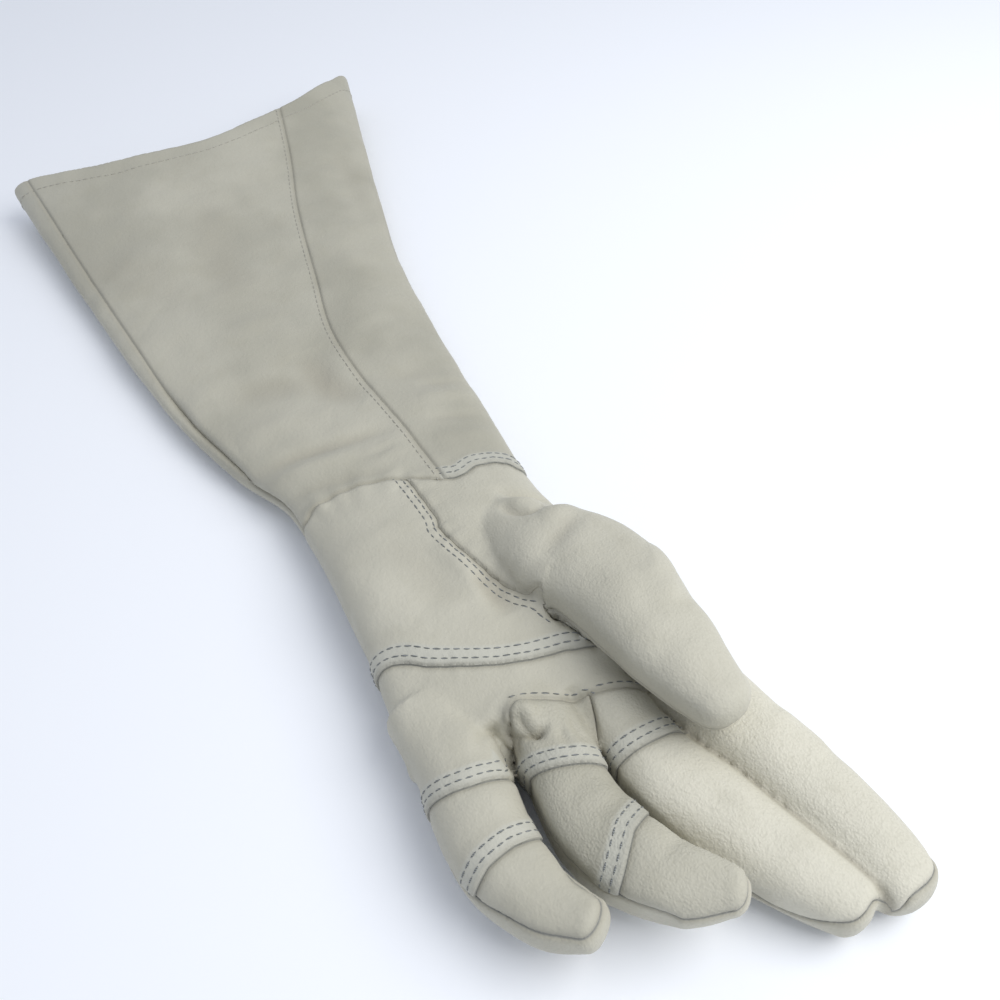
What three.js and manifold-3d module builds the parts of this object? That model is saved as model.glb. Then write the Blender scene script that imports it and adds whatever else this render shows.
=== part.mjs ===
// A left-hand leather gauntlet glove, lying palm up as it rests on a table.
// Millimetres, +Z up. The fingertips point to -Y, the open cuff to +Y, the thumb is on the +X side.
// The origin is on the underside of the wrist, on the flat face that the glove rests on.
import * as THREE from "three";
import { mergeVertices } from "three/addons/utils/BufferGeometryUtils.js";
import Module from "manifold-3d";

const wasm = await Module();
wasm.setup();

// Driving dimensions
const cuffLength = 255; // wrist to the middle of the hem
const cuffWidth = 187; // across the open hem
const hemHeight = 29; // how far the hem gapes
const wristWidth = 79;
const palmLength = 100; // wrist to the roots of the fingers
const palmWidth = 99; // across the roots of the fingers
const palmHeight = 28;
const leather = 1.4; // one thickness of hide
const hemFold = 9; // the hem is turned in by this much
const seamGap = 0.3; // between two panels
const forkGap = 0.5; // between two fingers that touch
const sideSeamHeight = 7; // the seam round the edge of the hand
const fingerHeight = 23;
const pinkyLength = 77.5;
const pinkyWidth = 26;
const ringLength = 87;
const ringWidth = 25;
const middleLength = 104;
const middleWidth = 26;
const indexLength = 102.5;
const indexWidth = 27;
const thumbLength = 111;
const thumbWidth = 36;
const thumbHeight = 25;

// How finely the tubes are faceted
const aroundBody = 30;
const aroundFinger = 14;
const ringsPerRow = 1;
const flatten = 1; // the underside of the oval sections is cut flat this far up
const bodySquareness = 2.7; // 2 is an ellipse, more is squarer
const digitSquareness = 2.35;
const facetSlack = 0.08; // points closer to a flat than this are dropped
const beyond = 60; // past anything that a cut has to clear
const joinOverlap = 0.01; // two cuts that make one space run into each other by this
const crotchRise = 5; // the back's strip for the little finger starts this much nearer the wrist

// The cuff, from the hem to the wrist. along and lean (the section's middle): shares of cuffLength.
// flare: 0 at wristWidth, 1 at cuffWidth. height: share of hemHeight.
// bow: how far the edges lie beyond the middle, share of cuffLength.
// slant: how far the section moves to +Y per unit of X.
const cuffRows = [
  { along: 1.0, lean: 0.098, flare: 1.0, height: 1.0, bow: 0.139, slant: 0.05 },
  { along: 0.869, lean: 0.073, flare: 0.85, height: 0.81, bow: 0.108, slant: 0.05 },
  { along: 0.695, lean: 0.04, flare: 0.648, height: 0.645, bow: 0.07, slant: 0.04 },
  { along: 0.502, lean: 0.009, flare: 0.439, height: 0.56, bow: 0.035, slant: 0.03 },
  { along: 0.328, lean: -0.003, flare: 0.293, height: 0.56, bow: 0.015, slant: 0.02 },
  { along: 0.193, lean: -0.002, flare: 0.157, height: 0.64, bow: 0.004, slant: 0.01 },
  { along: 0.097, lean: 0.006, flare: 0.043, height: 0.74, bow: 0.0, slant: 0.0 },
];

// The hand, from the wrist to the roots of the fingers. along: share of palmLength.
// lean: share of palmWidth.
// widen: 0 at wristWidth, 1 at palmWidth. height: share of palmHeight. slant: as in the cuff.
const palmRows = [
  { along: 0.0, lean: -0.005, widen: 0.0, height: 0.857, slant: 0.0 },
  { along: 0.14, lean: -0.022, widen: -0.07, height: 0.91, slant: 0.0 },
  { along: 0.28, lean: -0.03, widen: -0.01, height: 0.95, slant: 0.0 },
  { along: 0.45, lean: -0.03, widen: 0.15, height: 0.98, slant: -0.02 },
  { along: 0.63, lean: -0.03, widen: 0.4, height: 0.97, slant: -0.06 },
  { along: 0.8, lean: -0.028, widen: 0.66, height: 0.91, slant: -0.1 },
  { along: 0.94, lean: -0.04, widen: 0.85, height: 0.82, slant: -0.12 },
];

// Each finger, from inside the hand to the tip. root: shares of palmWidth and palmLength.
// forward and aside: shares of length. wide: share of width.
// rise (the section's middle), high and seam (the side seam): shares of fingerHeight.
// tip: the rounded end, share of length. bands: the stitched bands across the finger, between its patches,
// as points in plan (forward as above, across: share of the half width, -1 on the little finger's side).
const fingers = {
  pinky: {
    length: pinkyLength,
    width: pinkyWidth,
    root: { across: -0.414, along: 0.78 },
    tip: 0.045,
    rows: [
      { forward: -0.08, aside: 0.03, wide: 0.92, rise: 0.56, high: 0.94, seam: 0.304 },
      { forward: 0.1, aside: 0.024, wide: 0.91, rise: 0.56, high: 1.0, seam: 0.304 },
      { forward: 0.22, aside: 0.018, wide: 0.94, rise: 0.56, high: 1.02, seam: 0.304 },
      { forward: 0.355, aside: 0.0, wide: 1.0, rise: 0.56, high: 1.02, seam: 0.32 },
      { forward: 0.47, aside: -0.02, wide: 0.965, rise: 0.55, high: 0.98, seam: 0.46 },
      { forward: 0.58, aside: -0.025, wide: 0.93, rise: 0.57, high: 0.95, seam: 0.64 },
      { forward: 0.69, aside: -0.008, wide: 0.87, rise: 0.62, high: 0.88, seam: 0.8 },
      { forward: 0.81, aside: 0.024, wide: 0.74, rise: 0.72, high: 0.76, seam: 0.94 },
      { forward: 0.92, aside: 0.088, wide: 0.52, rise: 0.88, high: 0.56, seam: 1.04 },
    ],
    patches: ["pinky_mid_patch", "pinky_tip_patch"],
    bands: [
      [
        { forward: 0.63, across: -1.6 },
        { forward: 0.6, across: -0.5 },
        { forward: 0.6, across: 0.2 },
        { forward: 0.66, across: 1.6 },
      ],
    ],
  },
  ring: {
    length: ringLength,
    width: ringWidth,
    root: { across: -0.125, along: 0.81 },
    tip: 0.05,
    rows: [
      { forward: -0.06, aside: -0.01, wide: 1.0, rise: 0.56, high: 0.94, seam: 0.304 },
      { forward: 0.07, aside: -0.012, wide: 1.02, rise: 0.56, high: 1.0, seam: 0.304 },
      { forward: 0.18, aside: -0.016, wide: 1.0, rise: 0.57, high: 1.02, seam: 0.304 },
      { forward: 0.32, aside: -0.032, wide: 0.95, rise: 0.6, high: 1.02, seam: 0.36 },
      { forward: 0.47, aside: -0.068, wide: 0.97, rise: 0.62, high: 1.0, seam: 0.55 },
      { forward: 0.595, aside: -0.07, wide: 1.0, rise: 0.65, high: 0.97, seam: 0.68 },
      { forward: 0.69, aside: -0.046, wide: 1.0, rise: 0.7, high: 0.92, seam: 0.78 },
      { forward: 0.79, aside: -0.002, wide: 0.92, rise: 0.8, high: 0.82, seam: 0.89 },
      { forward: 0.87, aside: 0.066, wide: 0.77, rise: 0.92, high: 0.67, seam: 1.0 },
      { forward: 0.93, aside: 0.13, wide: 0.55, rise: 1.03, high: 0.5, seam: 1.08 },
    ],
    patches: ["ring_base_patch", "ring_mid_patch", "ring_tip_patch"],
    bands: [
      [
        { forward: 0.335, across: -1.6 },
        { forward: 0.42, across: 1.6 },
      ],
      [
        { forward: 0.74, across: -1.6 },
        { forward: 0.71, across: -0.5 },
        { forward: 0.67, across: 0.3 },
        { forward: 0.65, across: 1.6 },
      ],
    ],
  },
  middle: {
    length: middleLength,
    width: middleWidth,
    root: { across: 0.07, along: 0.82 },
    tip: 0.06,
    rows: [
      { forward: -0.06, aside: 0.0, wide: 0.88, rise: 0.54, high: 0.94, seam: 0.304 },
      { forward: 0.1, aside: 0.0, wide: 0.88, rise: 0.54, high: 0.97, seam: 0.304 },
      { forward: 0.22, aside: 0.0, wide: 0.9, rise: 0.53, high: 0.97, seam: 0.304 },
      { forward: 0.32, aside: -0.003, wide: 0.92, rise: 0.52, high: 0.96, seam: 0.33 },
      { forward: 0.41, aside: 0.003, wide: 0.98, rise: 0.5, high: 0.96, seam: 0.35 },
      { forward: 0.5, aside: 0.024, wide: 1.02, rise: 0.49, high: 0.95, seam: 0.35 },
      { forward: 0.615, aside: 0.056, wide: 0.99, rise: 0.48, high: 0.92, seam: 0.35 },
      { forward: 0.71, aside: 0.09, wide: 0.92, rise: 0.47, high: 0.9, seam: 0.35 },
      { forward: 0.83, aside: 0.142, wide: 0.8, rise: 0.45, high: 0.85, seam: 0.35 },
      { forward: 0.92, aside: 0.184, wide: 0.66, rise: 0.42, high: 0.76, seam: 0.36 },
    ],
    patches: ["middle_base_patch", "middle_tip_patch"],
    bands: [
      [
        { forward: 0.345, across: -1.6 },
        { forward: 0.4, across: 1.6 },
      ],
    ],
  },
  index: {
    length: indexLength,
    width: indexWidth,
    root: { across: 0.323, along: 0.88 },
    tip: 0.07,
    rows: [
      { forward: -0.08, aside: -0.02, wide: 0.96, rise: 0.52, high: 0.9, seam: 0.304 },
      { forward: 0.08, aside: -0.01, wide: 1.0, rise: 0.52, high: 0.92, seam: 0.304 },
      { forward: 0.17, aside: 0.0, wide: 1.02, rise: 0.51, high: 0.92, seam: 0.304 },
      { forward: 0.26, aside: 0.005, wide: 1.02, rise: 0.5, high: 0.92, seam: 0.33 },
      { forward: 0.37, aside: 0.02, wide: 0.97, rise: 0.5, high: 0.92, seam: 0.35 },
      { forward: 0.46, aside: 0.04, wide: 0.93, rise: 0.5, high: 0.92, seam: 0.35 },
      { forward: 0.58, aside: 0.06, wide: 0.88, rise: 0.48, high: 0.91, seam: 0.35 },
      { forward: 0.69, aside: 0.075, wide: 0.87, rise: 0.46, high: 0.88, seam: 0.35 },
      { forward: 0.81, aside: 0.086, wide: 0.82, rise: 0.44, high: 0.83, seam: 0.35 },
      { forward: 0.91, aside: 0.089, wide: 0.73, rise: 0.41, high: 0.75, seam: 0.36 },
    ],
    patches: ["index_front"],
    bands: [],
  },
};

// The thumb, from inside the palm to the tip, lying over the palm. Its columns are those of a finger,
// with thumbHeight in place of fingerHeight. free: the row from which it is clear of the palm.
const thumb = {
  length: thumbLength,
  width: thumbWidth,
  root: { across: 0.141, along: 0.2 },
  tip: 0.06,
  free: 3,
  rows: [
    { forward: 0.0, aside: 0.0, wide: 0.78, rise: 0.56, high: 0.72, seam: 0.44 },
    { forward: 0.16, aside: 0.02, wide: 0.81, rise: 0.76, high: 0.92, seam: 0.64 },
    { forward: 0.3, aside: 0.05, wide: 0.98, rise: 0.98, high: 1.04, seam: 0.86 },
    { forward: 0.43, aside: 0.096, wide: 1.0, rise: 1.16, high: 1.0, seam: 1.04 },
    { forward: 0.55, aside: 0.102, wide: 0.93, rise: 1.28, high: 0.92, seam: 1.16 },
    { forward: 0.685, aside: 0.094, wide: 0.82, rise: 1.36, high: 0.84, seam: 1.24 },
    { forward: 0.765, aside: 0.094, wide: 0.77, rise: 1.372, high: 0.8, seam: 1.25 },
    { forward: 0.85, aside: 0.094, wide: 0.64, rise: 1.372, high: 0.744, seam: 1.25 },
    { forward: 0.94, aside: 0.103, wide: 0.5, rise: 1.36, high: 0.624, seam: 1.24 },
  ],
};

// Seams, as points in plan. along: share of cuffLength towards the cuff, or of palmLength (negative) towards
// the fingers. across: share of the half width there, -1 on the little finger's side.
const wristSeam = [
  { along: 0.04, across: -1.5 },
  { along: 0.04, across: -1.0 },
  { along: 0.046, across: -0.86 },
  { along: 0.045, across: -0.56 },
  { along: 0.025, across: -0.2 },
  { along: -0.06, across: 0.3 },
  { along: -0.05, across: 0.55 },
  { along: -0.07, across: 0.79 },
  { along: -0.12, across: 1.0 },
  { along: -0.13, across: 1.5 },
];
const cuffTopSeam = [
  { along: 1.25, across: 0.616 },
  { along: 0.92, across: 0.4 },
  { along: 0.73, across: 0.353 },
  { along: 0.54, across: 0.325 },
  { along: 0.36, across: 0.235 },
  { along: 0.1, across: 0.2 },
  { along: -0.1, across: 0.24 },
];
const cuffSideSeams = [
  { along: 1.2, left: -0.93, right: 0.93 },
  { along: 0.42, left: -0.935, right: 0.93 },
  { along: 0.32, left: -0.95, right: 0.92 },
  { along: 0.19, left: -0.975, right: 0.9 },
  { along: -0.1, left: -0.98, right: 0.88 },
];
const thumbSeam = [
  { along: 0.1, across: -0.08 },
  { along: -0.17, across: -0.02 },
  { along: -0.25, across: -0.05 },
  { along: -0.42, across: 0.01 },
  { along: -0.58, across: 0.1 },
  { along: -0.66, across: 0.2 },
];
const palmBand = [
  { along: -0.57, across: -1.5 },
  { along: -0.58, across: -0.95 },
  { along: -0.675, across: -0.65 },
  { along: -0.754, across: -0.38 },
  { along: -0.804, across: -0.14 },
  { along: -0.836, across: 0.1 },
  { along: -0.88, across: 0.4 },
  { along: -0.95, across: 1.5 },
];
// Where each finger's own patch begins, from the little finger's side to the thumb's side.
const fingerBases = {
  pinky: [
    { along: -1.0, across: -1.5 },
    { along: -1.01, across: -1.04 },
    { along: -1.05, across: -0.79 },
    { along: -1.07, across: -0.53 },
  ],
  ring: [
    { along: -0.9, across: -0.31 },
    { along: -0.916, across: -0.21 },
    { along: -0.95, across: -0.08 },
  ],
  middle: [{ along: -1.015, across: 0.27 }],
  index: [
    { along: -1.03, across: 0.75 },
    { along: -0.99, across: 1.5 },
  ],
};
// Between two fingers: from the seam across their bases to the crotch, where their undersides part too.
const forks = {
  pinkyRing: { between: ["pinky", "ring"], base: { along: -0.92, across: -0.375 }, crotch: 1.05 },
  ringMiddle: { between: ["ring", "middle"], base: { along: -0.985, across: 0.1 }, crotch: 1.13 },
  middleIndex: { between: ["middle", "index"], base: { along: -1.05, across: 0.44 }, crotch: 1.17 },
};

// The value of one column at u, counted in rows, on a smooth curve through the rows.
function column(rows, key, u) {
  const at = (i) => rows[Math.min(Math.max(i, 0), rows.length - 1)][key];
  const i = Math.max(0, Math.min(Math.floor(u), rows.length - 2));
  const f = u - i;
  const slope1 = (at(i + 1) - at(i - 1)) / 2;
  const slope2 = (at(i + 2) - at(i)) / 2;
  return (
    (2 * f ** 3 - 3 * f ** 2 + 1) * at(i) +
    (f ** 3 - 2 * f ** 2 + f) * slope1 +
    (3 * f ** 2 - 2 * f ** 3) * at(i + 1) +
    (f ** 3 - f ** 2) * slope2
  );
}

// The u at which a column that only falls reaches a value, held inside the table.
function rowAt(rows, key, value) {
  const last = rows.length - 1;
  let low = 0;
  let high = last;
  if (value >= rows[0][key]) return 0;
  if (value <= rows[last][key]) return last;
  for (let k = 0; k < 30; k++) {
    const mid = (low + high) / 2;
    if (column(rows, key, mid) > value) low = mid;
    else high = mid;
  }
  return low;
}

// A point of an oval at an angle from +X.
function oval(angle, squareness) {
  const power = 2 / squareness;
  const c = Math.cos(angle);
  const s = Math.sin(angle);
  return [Math.sign(c) * Math.abs(c) ** power, Math.sign(s) * Math.abs(s) ** power];
}

// A closed geometry through rings of points, counter-clockwise seen from ahead, as a manifold solid.
function loft(rings) {
  const n = rings[0].length;
  const position = rings.flat().flatMap((p) => [p.x, p.y, p.z]);
  const index = [];
  for (let r = 0; r + 1 < rings.length; r++)
    for (let i = 0; i < n; i++) {
      const j = (i + 1) % n;
      const [a, b, c, d] = [r * n + i, r * n + j, (r + 1) * n + j, (r + 1) * n + i];
      index.push(a, b, c, a, c, d);
    }
  for (const [r, first] of [[0, true], [rings.length - 1, false]]) {
    const centre = position.length / 3;
    const middle = rings[r].reduce((sum, p) => sum.add(p), new THREE.Vector3()).divideScalar(n);
    position.push(middle.x, middle.y, middle.z);
    for (let i = 0; i < n; i++) {
      const pair = [r * n + i, r * n + ((i + 1) % n)];
      index.push(...(first ? pair.reverse() : pair), centre);
    }
  }
  const geometry = new THREE.BufferGeometry();
  geometry.setAttribute("position", new THREE.Float32BufferAttribute(position, 3));
  geometry.setIndex(index);
  return solidOf(geometry);
}

function solidOf(geometry) {
  const merged = mergeVertices(geometry, 1e-4);
  const numProp = 3;
  const vertProperties = merged.attributes.position.array;
  const triVerts = new Uint32Array(merged.index.array);
  return new wasm.Manifold(new wasm.Mesh({ numProp, vertProperties, triVerts }));
}

// An upright prism over a plan outline, grown outwards by a margin.
function prism(outline, grow = 0, from = -beyond, to = beyond) {
  const turn = outline.reduce((sum, p, i) => {
    const q = outline[(i + 1) % outline.length];
    return sum + p.x * q.y - q.x * p.y;
  }, 0);
  const points = outline.map((p) => [p.x, p.y]);
  if (turn < 0) points.reverse();
  const plan = new wasm.CrossSection([points]).offset(grow, "Miter");
  return plan.extrude(to - from).translate([0, 0, from]);
}

// An upright wall of a thickness along a plan path.
function wallAlong(path, thickness) {
  const sides = [[], []];
  path.forEach((p, i) => {
    const before = path[Math.max(i - 1, 0)];
    const after = path[Math.min(i + 1, path.length - 1)];
    const along = new THREE.Vector2(after.x - before.x, after.y - before.y).normalize();
    sides[0].push({ x: p.x - (along.y * thickness) / 2, y: p.y + (along.x * thickness) / 2 });
    sides[1].push({ x: p.x + (along.y * thickness) / 2, y: p.y - (along.x * thickness) / 2 });
  });
  return prism([...sides[0], ...sides[1].reverse()]);
}

// The body of the glove, hem to knuckles.
const bodySections = [
  ...cuffRows.map((row) => ({
    y: row.along * cuffLength,
    x: row.lean * cuffLength,
    halfWidth: (wristWidth + (cuffWidth - wristWidth) * row.flare) / 2,
    height: row.height * hemHeight,
    bow: row.bow * cuffLength,
    slant: row.slant,
  })),
  ...palmRows.map((row) => ({
    y: -row.along * palmLength,
    x: row.lean * palmWidth,
    halfWidth: (wristWidth + (palmWidth - wristWidth) * row.widen) / 2,
    height: row.height * palmHeight,
    bow: 0,
    slant: row.slant,
  })),
];
const bodyEnd = bodySections.length - 1;

function bodyRing(u, inset, shift = 0) {
  const at = (key) => column(bodySections, key, u);
  const half = (at("height") + flatten) / 2;
  const points = [];
  for (let i = 0; i < aroundBody; i++) {
    const [c, s] = oval((i / aroundBody) * 2 * Math.PI, bodySquareness);
    const x = at("x") + c * (at("halfWidth") - inset);
    const y = at("y") + at("bow") * c * c + at("slant") * x + shift;
    const z = at("height") - half + s * (half - inset);
    points.push(new THREE.Vector3(x, y, Math.max(z, inset)));
  }
  return points;
}

function bodyTube(inset) {
  const steps = Math.round(bodyEnd * ringsPerRow);
  const rings = [];
  for (let k = 0; k <= steps; k++) rings.push(bodyRing((k / steps) * bodyEnd, inset));
  return rings;
}

// The hollow of the body: narrower inside the turned hem, and open past it.
function bodyHollow() {
  const folded = rowAt(bodySections, "y", cuffLength - hemFold);
  const inside = bodyTube(leather).slice(1);
  const start = [bodyRing(0, 2 * leather, hemFold), bodyRing(0, 2 * leather)];
  const step = [bodyRing(folded, 2 * leather), bodyRing(folded + 0.01, leather)];
  const rings = [...start, ...step, ...inside];
  const last = rings[rings.length - 1];
  rings[rings.length - 1] = last.map((p) => p.clone().add(new THREE.Vector3(0, leather, 0)));
  return loft(rings);
}

// Where a seam point lies in plan.
function onBody({ along, across }) {
  const y = along * (along > 0 ? cuffLength : palmLength);
  const u = rowAt(bodySections, "y", y);
  return { x: column(bodySections, "x", u) + across * column(bodySections, "halfWidth", u), y };
}

// A finger's or the thumb's section at u.
function digitSection(digit, height, u) {
  const at = (key, v) => column(digit.rows, key, Math.min(Math.max(v, 0), digit.rows.length - 1));
  const centre = (v) =>
    new THREE.Vector3(
      digit.root.across * palmWidth + at("aside", v) * digit.length,
      -digit.root.along * palmLength - at("forward", v) * digit.length,
      at("rise", v) * height,
    );
  const near = 0.1;
  const ahead = centre(u + near).sub(centre(u - near)).normalize();
  const side = new THREE.Vector3(0, 0, 1).cross(ahead).normalize();
  const up = ahead.clone().cross(side);
  return {
    centre: centre(u),
    ahead,
    side,
    up,
    halfWidth: (at("wide", u) * digit.width) / 2,
    halfHeight: (at("high", u) * height) / 2,
    seam: at("seam", u) * height,
  };
}

function digitRing(section, inset, shrink = 1, shift = 0) {
  const points = [];
  for (let i = 0; i < aroundFinger; i++) {
    const [c, s] = oval((i / aroundFinger) * 2 * Math.PI, digitSquareness);
    const p = section.centre
      .clone()
      .addScaledVector(section.side, c * (section.halfWidth - inset) * shrink)
      .addScaledVector(section.up, s * (section.halfHeight - inset) * shrink)
      .addScaledVector(section.ahead, shift);
    p.z = Math.max(p.z, inset);
    points.push(p);
  }
  return points;
}

const domeAngles = [38, 68, 86].map((degrees) => THREE.MathUtils.degToRad(degrees));
function digitTube(digit, height, inset, from = 0, lead = 0) {
  const last = digit.rows.length - 1;
  const steps = Math.round((last - from) * ringsPerRow);
  const rings = [];
  if (lead) rings.push(digitRing(digitSection(digit, height, from), inset, 1, -lead));
  for (let k = 0; k <= steps; k++) {
    rings.push(digitRing(digitSection(digit, height, from + (k / steps) * (last - from)), inset));
  }
  const end = digitSection(digit, height, last);
  const dome = digit.tip * digit.length - inset;
  for (const a of domeAngles) rings.push(digitRing(end, inset, Math.cos(a), Math.sin(a) * dome));
  return loft(rings);
}

// The space under a digit's side seam, raised by a margin.
function digitUnder(digit, height, raise, margin = 3) {
  const last = digit.rows.length - 1;
  const rings = [];
  for (let u = 0; u <= last + 1; u++) {
    const section = digitSection(digit, height, Math.min(u, last));
    const before = digitSection(digit, height, last - 1);
    const past = u > last ? digit.tip * digit.length + margin : 0;
    const slope = (section.seam - before.seam) / section.centre.distanceTo(before.centre);
    const top = section.seam + (past ? slope * past : 0) + raise;
    const centre = section.centre.clone().addScaledVector(section.ahead, past);
    const half = section.halfWidth + margin;
    const corner = (side, z) => centre.clone().addScaledVector(section.side, side * half).setZ(z);
    rings.push([corner(1, -beyond), corner(1, top), corner(-1, top), corner(-1, -beyond)]);
  }
  return loft(rings);
}

// The plan path between two neighbouring fingers, from the crotch to past their tips.
function forkPath(fork) {
  const [a, b] = fork.between.map((name) => fingers[name]);
  const rowsOf = (digit) =>
    digit.rows.map((row) => ({ ...row, y: -digit.root.along * palmLength - row.forward * digit.length }));
  const edge = (digit, y, sign) => {
    const u = rowAt(rowsOf(digit), "y", y);
    const section = digitSection(digit, fingerHeight, u);
    return section.centre.x + sign * Math.abs(section.side.x) * section.halfWidth;
  };
  const from = -fork.crotch * palmLength;
  const to = Math.min(...[a, b].map((digit) => -digit.root.along * palmLength - digit.length));
  const path = [];
  const steps = 8;
  for (let k = 0; k <= steps; k++) {
    const y = from + ((to - from) * k) / steps;
    path.push({ x: (edge(a, y, 1) + edge(b, y, -1)) / 2, y });
  }
  const end = path[path.length - 1];
  path.push({ x: end.x, y: end.y - beyond });
  return path;
}

// Pieces
const group = new THREE.Group();
const hide = new THREE.MeshStandardMaterial({ color: "#d9d4c4", roughness: 0.75, metalness: 0 });

function add(name, solid) {
  const bodies = solid.simplify(facetSlack).decompose();
  const largest = bodies.reduce((best, body) => (body.volume() > best.volume() ? body : best));
  const made = largest.getMesh();
  const geometry = new THREE.BufferGeometry();
  geometry.setAttribute("position", new THREE.BufferAttribute(new Float32Array(made.vertProperties), 3));
  geometry.setIndex(new THREE.BufferAttribute(made.triVerts, 1));
  const mesh = new THREE.Mesh(geometry, hide);
  mesh.name = name;
  group.add(mesh);
}

// The outside and the hollow. The thumb presses its own bed into the palm.
const fingerNames = Object.keys(fingers);
const forkPaths = Object.values(forks).map(forkPath);
const thumbOuter = digitTube(thumb, thumbHeight, 0);
const thumbInner = digitTube(thumb, thumbHeight, leather);
const thumbBed = digitTube(thumb, thumbHeight, -seamGap, thumb.free);
const thumbBedWall = digitTube(thumb, thumbHeight, -seamGap - leather, thumb.free, leather);
let outside = loft(bodyTube(0));
let hollow = bodyHollow();
for (const digit of Object.values(fingers)) {
  outside = outside.add(digitTube(digit, fingerHeight, 0));
  hollow = hollow.add(digitTube(digit, fingerHeight, leather));
}
for (const path of forkPaths) {
  const early = { x: path[0].x, y: path[0].y + leather };
  outside = outside.subtract(wallAlong(path, forkGap));
  hollow = hollow.subtract(wallAlong([early, ...path.slice(1)], forkGap + 2 * leather));
}
outside = outside.subtract(thumbBed).add(thumbOuter);
hollow = hollow.subtract(thumbBedWall).add(thumbInner);
const wall = outside.subtract(hollow);

// Cuff
const side = cuffWidth + beyond;
const tips = -2 * palmLength - beyond;
const wristPath = wristSeam.map(onBody);
const cuffPlan = [
  { x: -side, y: wristPath[0].y },
  ...wristPath,
  { x: side, y: wristPath.at(-1).y },
  { x: side, y: 2 * cuffLength },
  { x: -side, y: 2 * cuffLength },
];
const cuffWall = wall.intersect(prism(cuffPlan));
const handWall = wall.subtract(prism(cuffPlan, seamGap));

// The space of the back panel: under the glove, and round its edge on the little finger's side.
function cuffUnder(raise) {
  const bands = cuffSideSeams.map(({ along, left, right }) => {
    const edge = onBody({ along, across: left });
    const inner = onBody({ along, across: right });
    const u = rowAt(bodySections, "y", edge.y);
    const middle = column(bodySections, "height", u) / 2;
    return { y: edge.y, left: edge.x + raise, right: inner.x + raise, middle: middle + raise };
  });
  const box = (y, right, top) => [
    new THREE.Vector3(right, y, -beyond),
    new THREE.Vector3(right, y, top),
    new THREE.Vector3(-side, y, top),
    new THREE.Vector3(-side, y, -beyond),
  ];
  const edge = loft(bands.map((band) => box(band.y, band.left, beyond)));
  return edge.add(loft(bands.map((band) => box(band.y, band.right, band.middle))));
}
const cuffTop = cuffWall.subtract(cuffUnder(seamGap));
const topSeam = cuffTopSeam.map(onBody);
const palmSidePlan = [...topSeam, { x: -side, y: topSeam.at(-1).y }, { x: -side, y: topSeam[0].y }];
add("cuff_palm_panel", cuffTop.intersect(prism(palmSidePlan)));
add("cuff_thumb_panel", cuffTop.subtract(prism(palmSidePlan, seamGap)));
add("cuff_back_panel", cuffWall.intersect(cuffUnder(0)));

// Hand: everything under the side seam is one back panel
const crotchLine = [
  { x: -side, y: forkPaths[0][0].y + crotchRise },
  ...forkPaths.map((path) => path[0]),
  { x: side, y: forkPaths.at(-1)[0].y },
];

// A finger's own strip of the plan, from the crotch line, or on top from the seam across its base.
function lane(name, onTop, grow = 0) {
  const i = fingerNames.indexOf(name);
  const edges = forkPaths.map((path, k) => (onTop ? [onBody(Object.values(forks)[k].base), ...path] : path));
  const left = edges[i - 1] ?? [crotchLine[0], { x: -side, y: tips }];
  const right = edges[i] ?? [crotchLine.at(-1), { x: side, y: tips }];
  const hasCorner = (edge) => !onTop || edges.includes(edge);
  const start = [
    ...(hasCorner(left) ? [left[0]] : []),
    ...(onTop ? fingerBases[name].map(onBody) : []),
    ...(hasCorner(right) ? [right[0]] : []),
  ];
  const down = right.slice(1).filter((p) => p.y < start.at(-1).y - leather);
  const back = left.slice(1).filter((p) => p.y < start[0].y - leather);
  const ends = [
    { x: right.at(-1).x, y: tips },
    { x: left.at(-1).x, y: tips },
  ];
  return prism([...start, ...down, ...ends, ...back.reverse()], grow);
}

function handUnder(raise) {
  const plan = [...crotchLine, { x: side, y: beyond }, { x: -side, y: beyond }];
  let under = prism(plan, joinOverlap, -beyond, sideSeamHeight + raise);
  for (const [name, digit] of Object.entries(fingers)) {
    const strip = lane(name, false, joinOverlap);
    under = under.add(digitUnder(digit, fingerHeight, raise).intersect(strip));
  }
  return under;
}
add("hand_back", handWall.intersect(handUnder(0)));
let top = handWall.subtract(handUnder(seamGap));

// Thumb, with the base of it that is let into the palm
const thumbPath = thumbSeam.map(onBody);
const crotch = digitSection(thumb, thumbHeight, thumb.free);
const thumbLeft = crotch.centre.clone().addScaledVector(crotch.side, -crotch.halfWidth);
const thumbRight = crotch.centre.clone().addScaledVector(crotch.side, crotch.halfWidth);
const thumbPlan = [
  ...thumbPath,
  thumbLeft,
  thumbRight,
  { x: side, y: thumbRight.y },
  { x: side, y: thumbPath[0].y },
];
const thumbWall = top.intersect(prism(thumbPlan).add(thumbOuter));
top = top.subtract(prism(thumbPlan, seamGap).add(digitTube(thumb, thumbHeight, -seamGap)));
const freeThumb = [
  { x: -side, y: thumbLeft.y },
  { x: side, y: thumbRight.y },
  { x: side, y: tips },
  { x: -side, y: tips },
];
const thumbUnder = (raise) => digitUnder(thumb, thumbHeight, raise).intersect(prism(freeThumb, raise));
add("thumb_front", thumbWall.subtract(thumbUnder(seamGap)));
add("thumb_back", thumbWall.intersect(thumbUnder(0)));

// Palm
const bandPath = palmBand.map(onBody);
const palmPlan = [...bandPath, { x: side, y: beyond }, { x: -side, y: beyond }];
add("palm_panel", top.intersect(prism(palmPlan)));
top = top.subtract(prism(palmPlan, seamGap));

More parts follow.
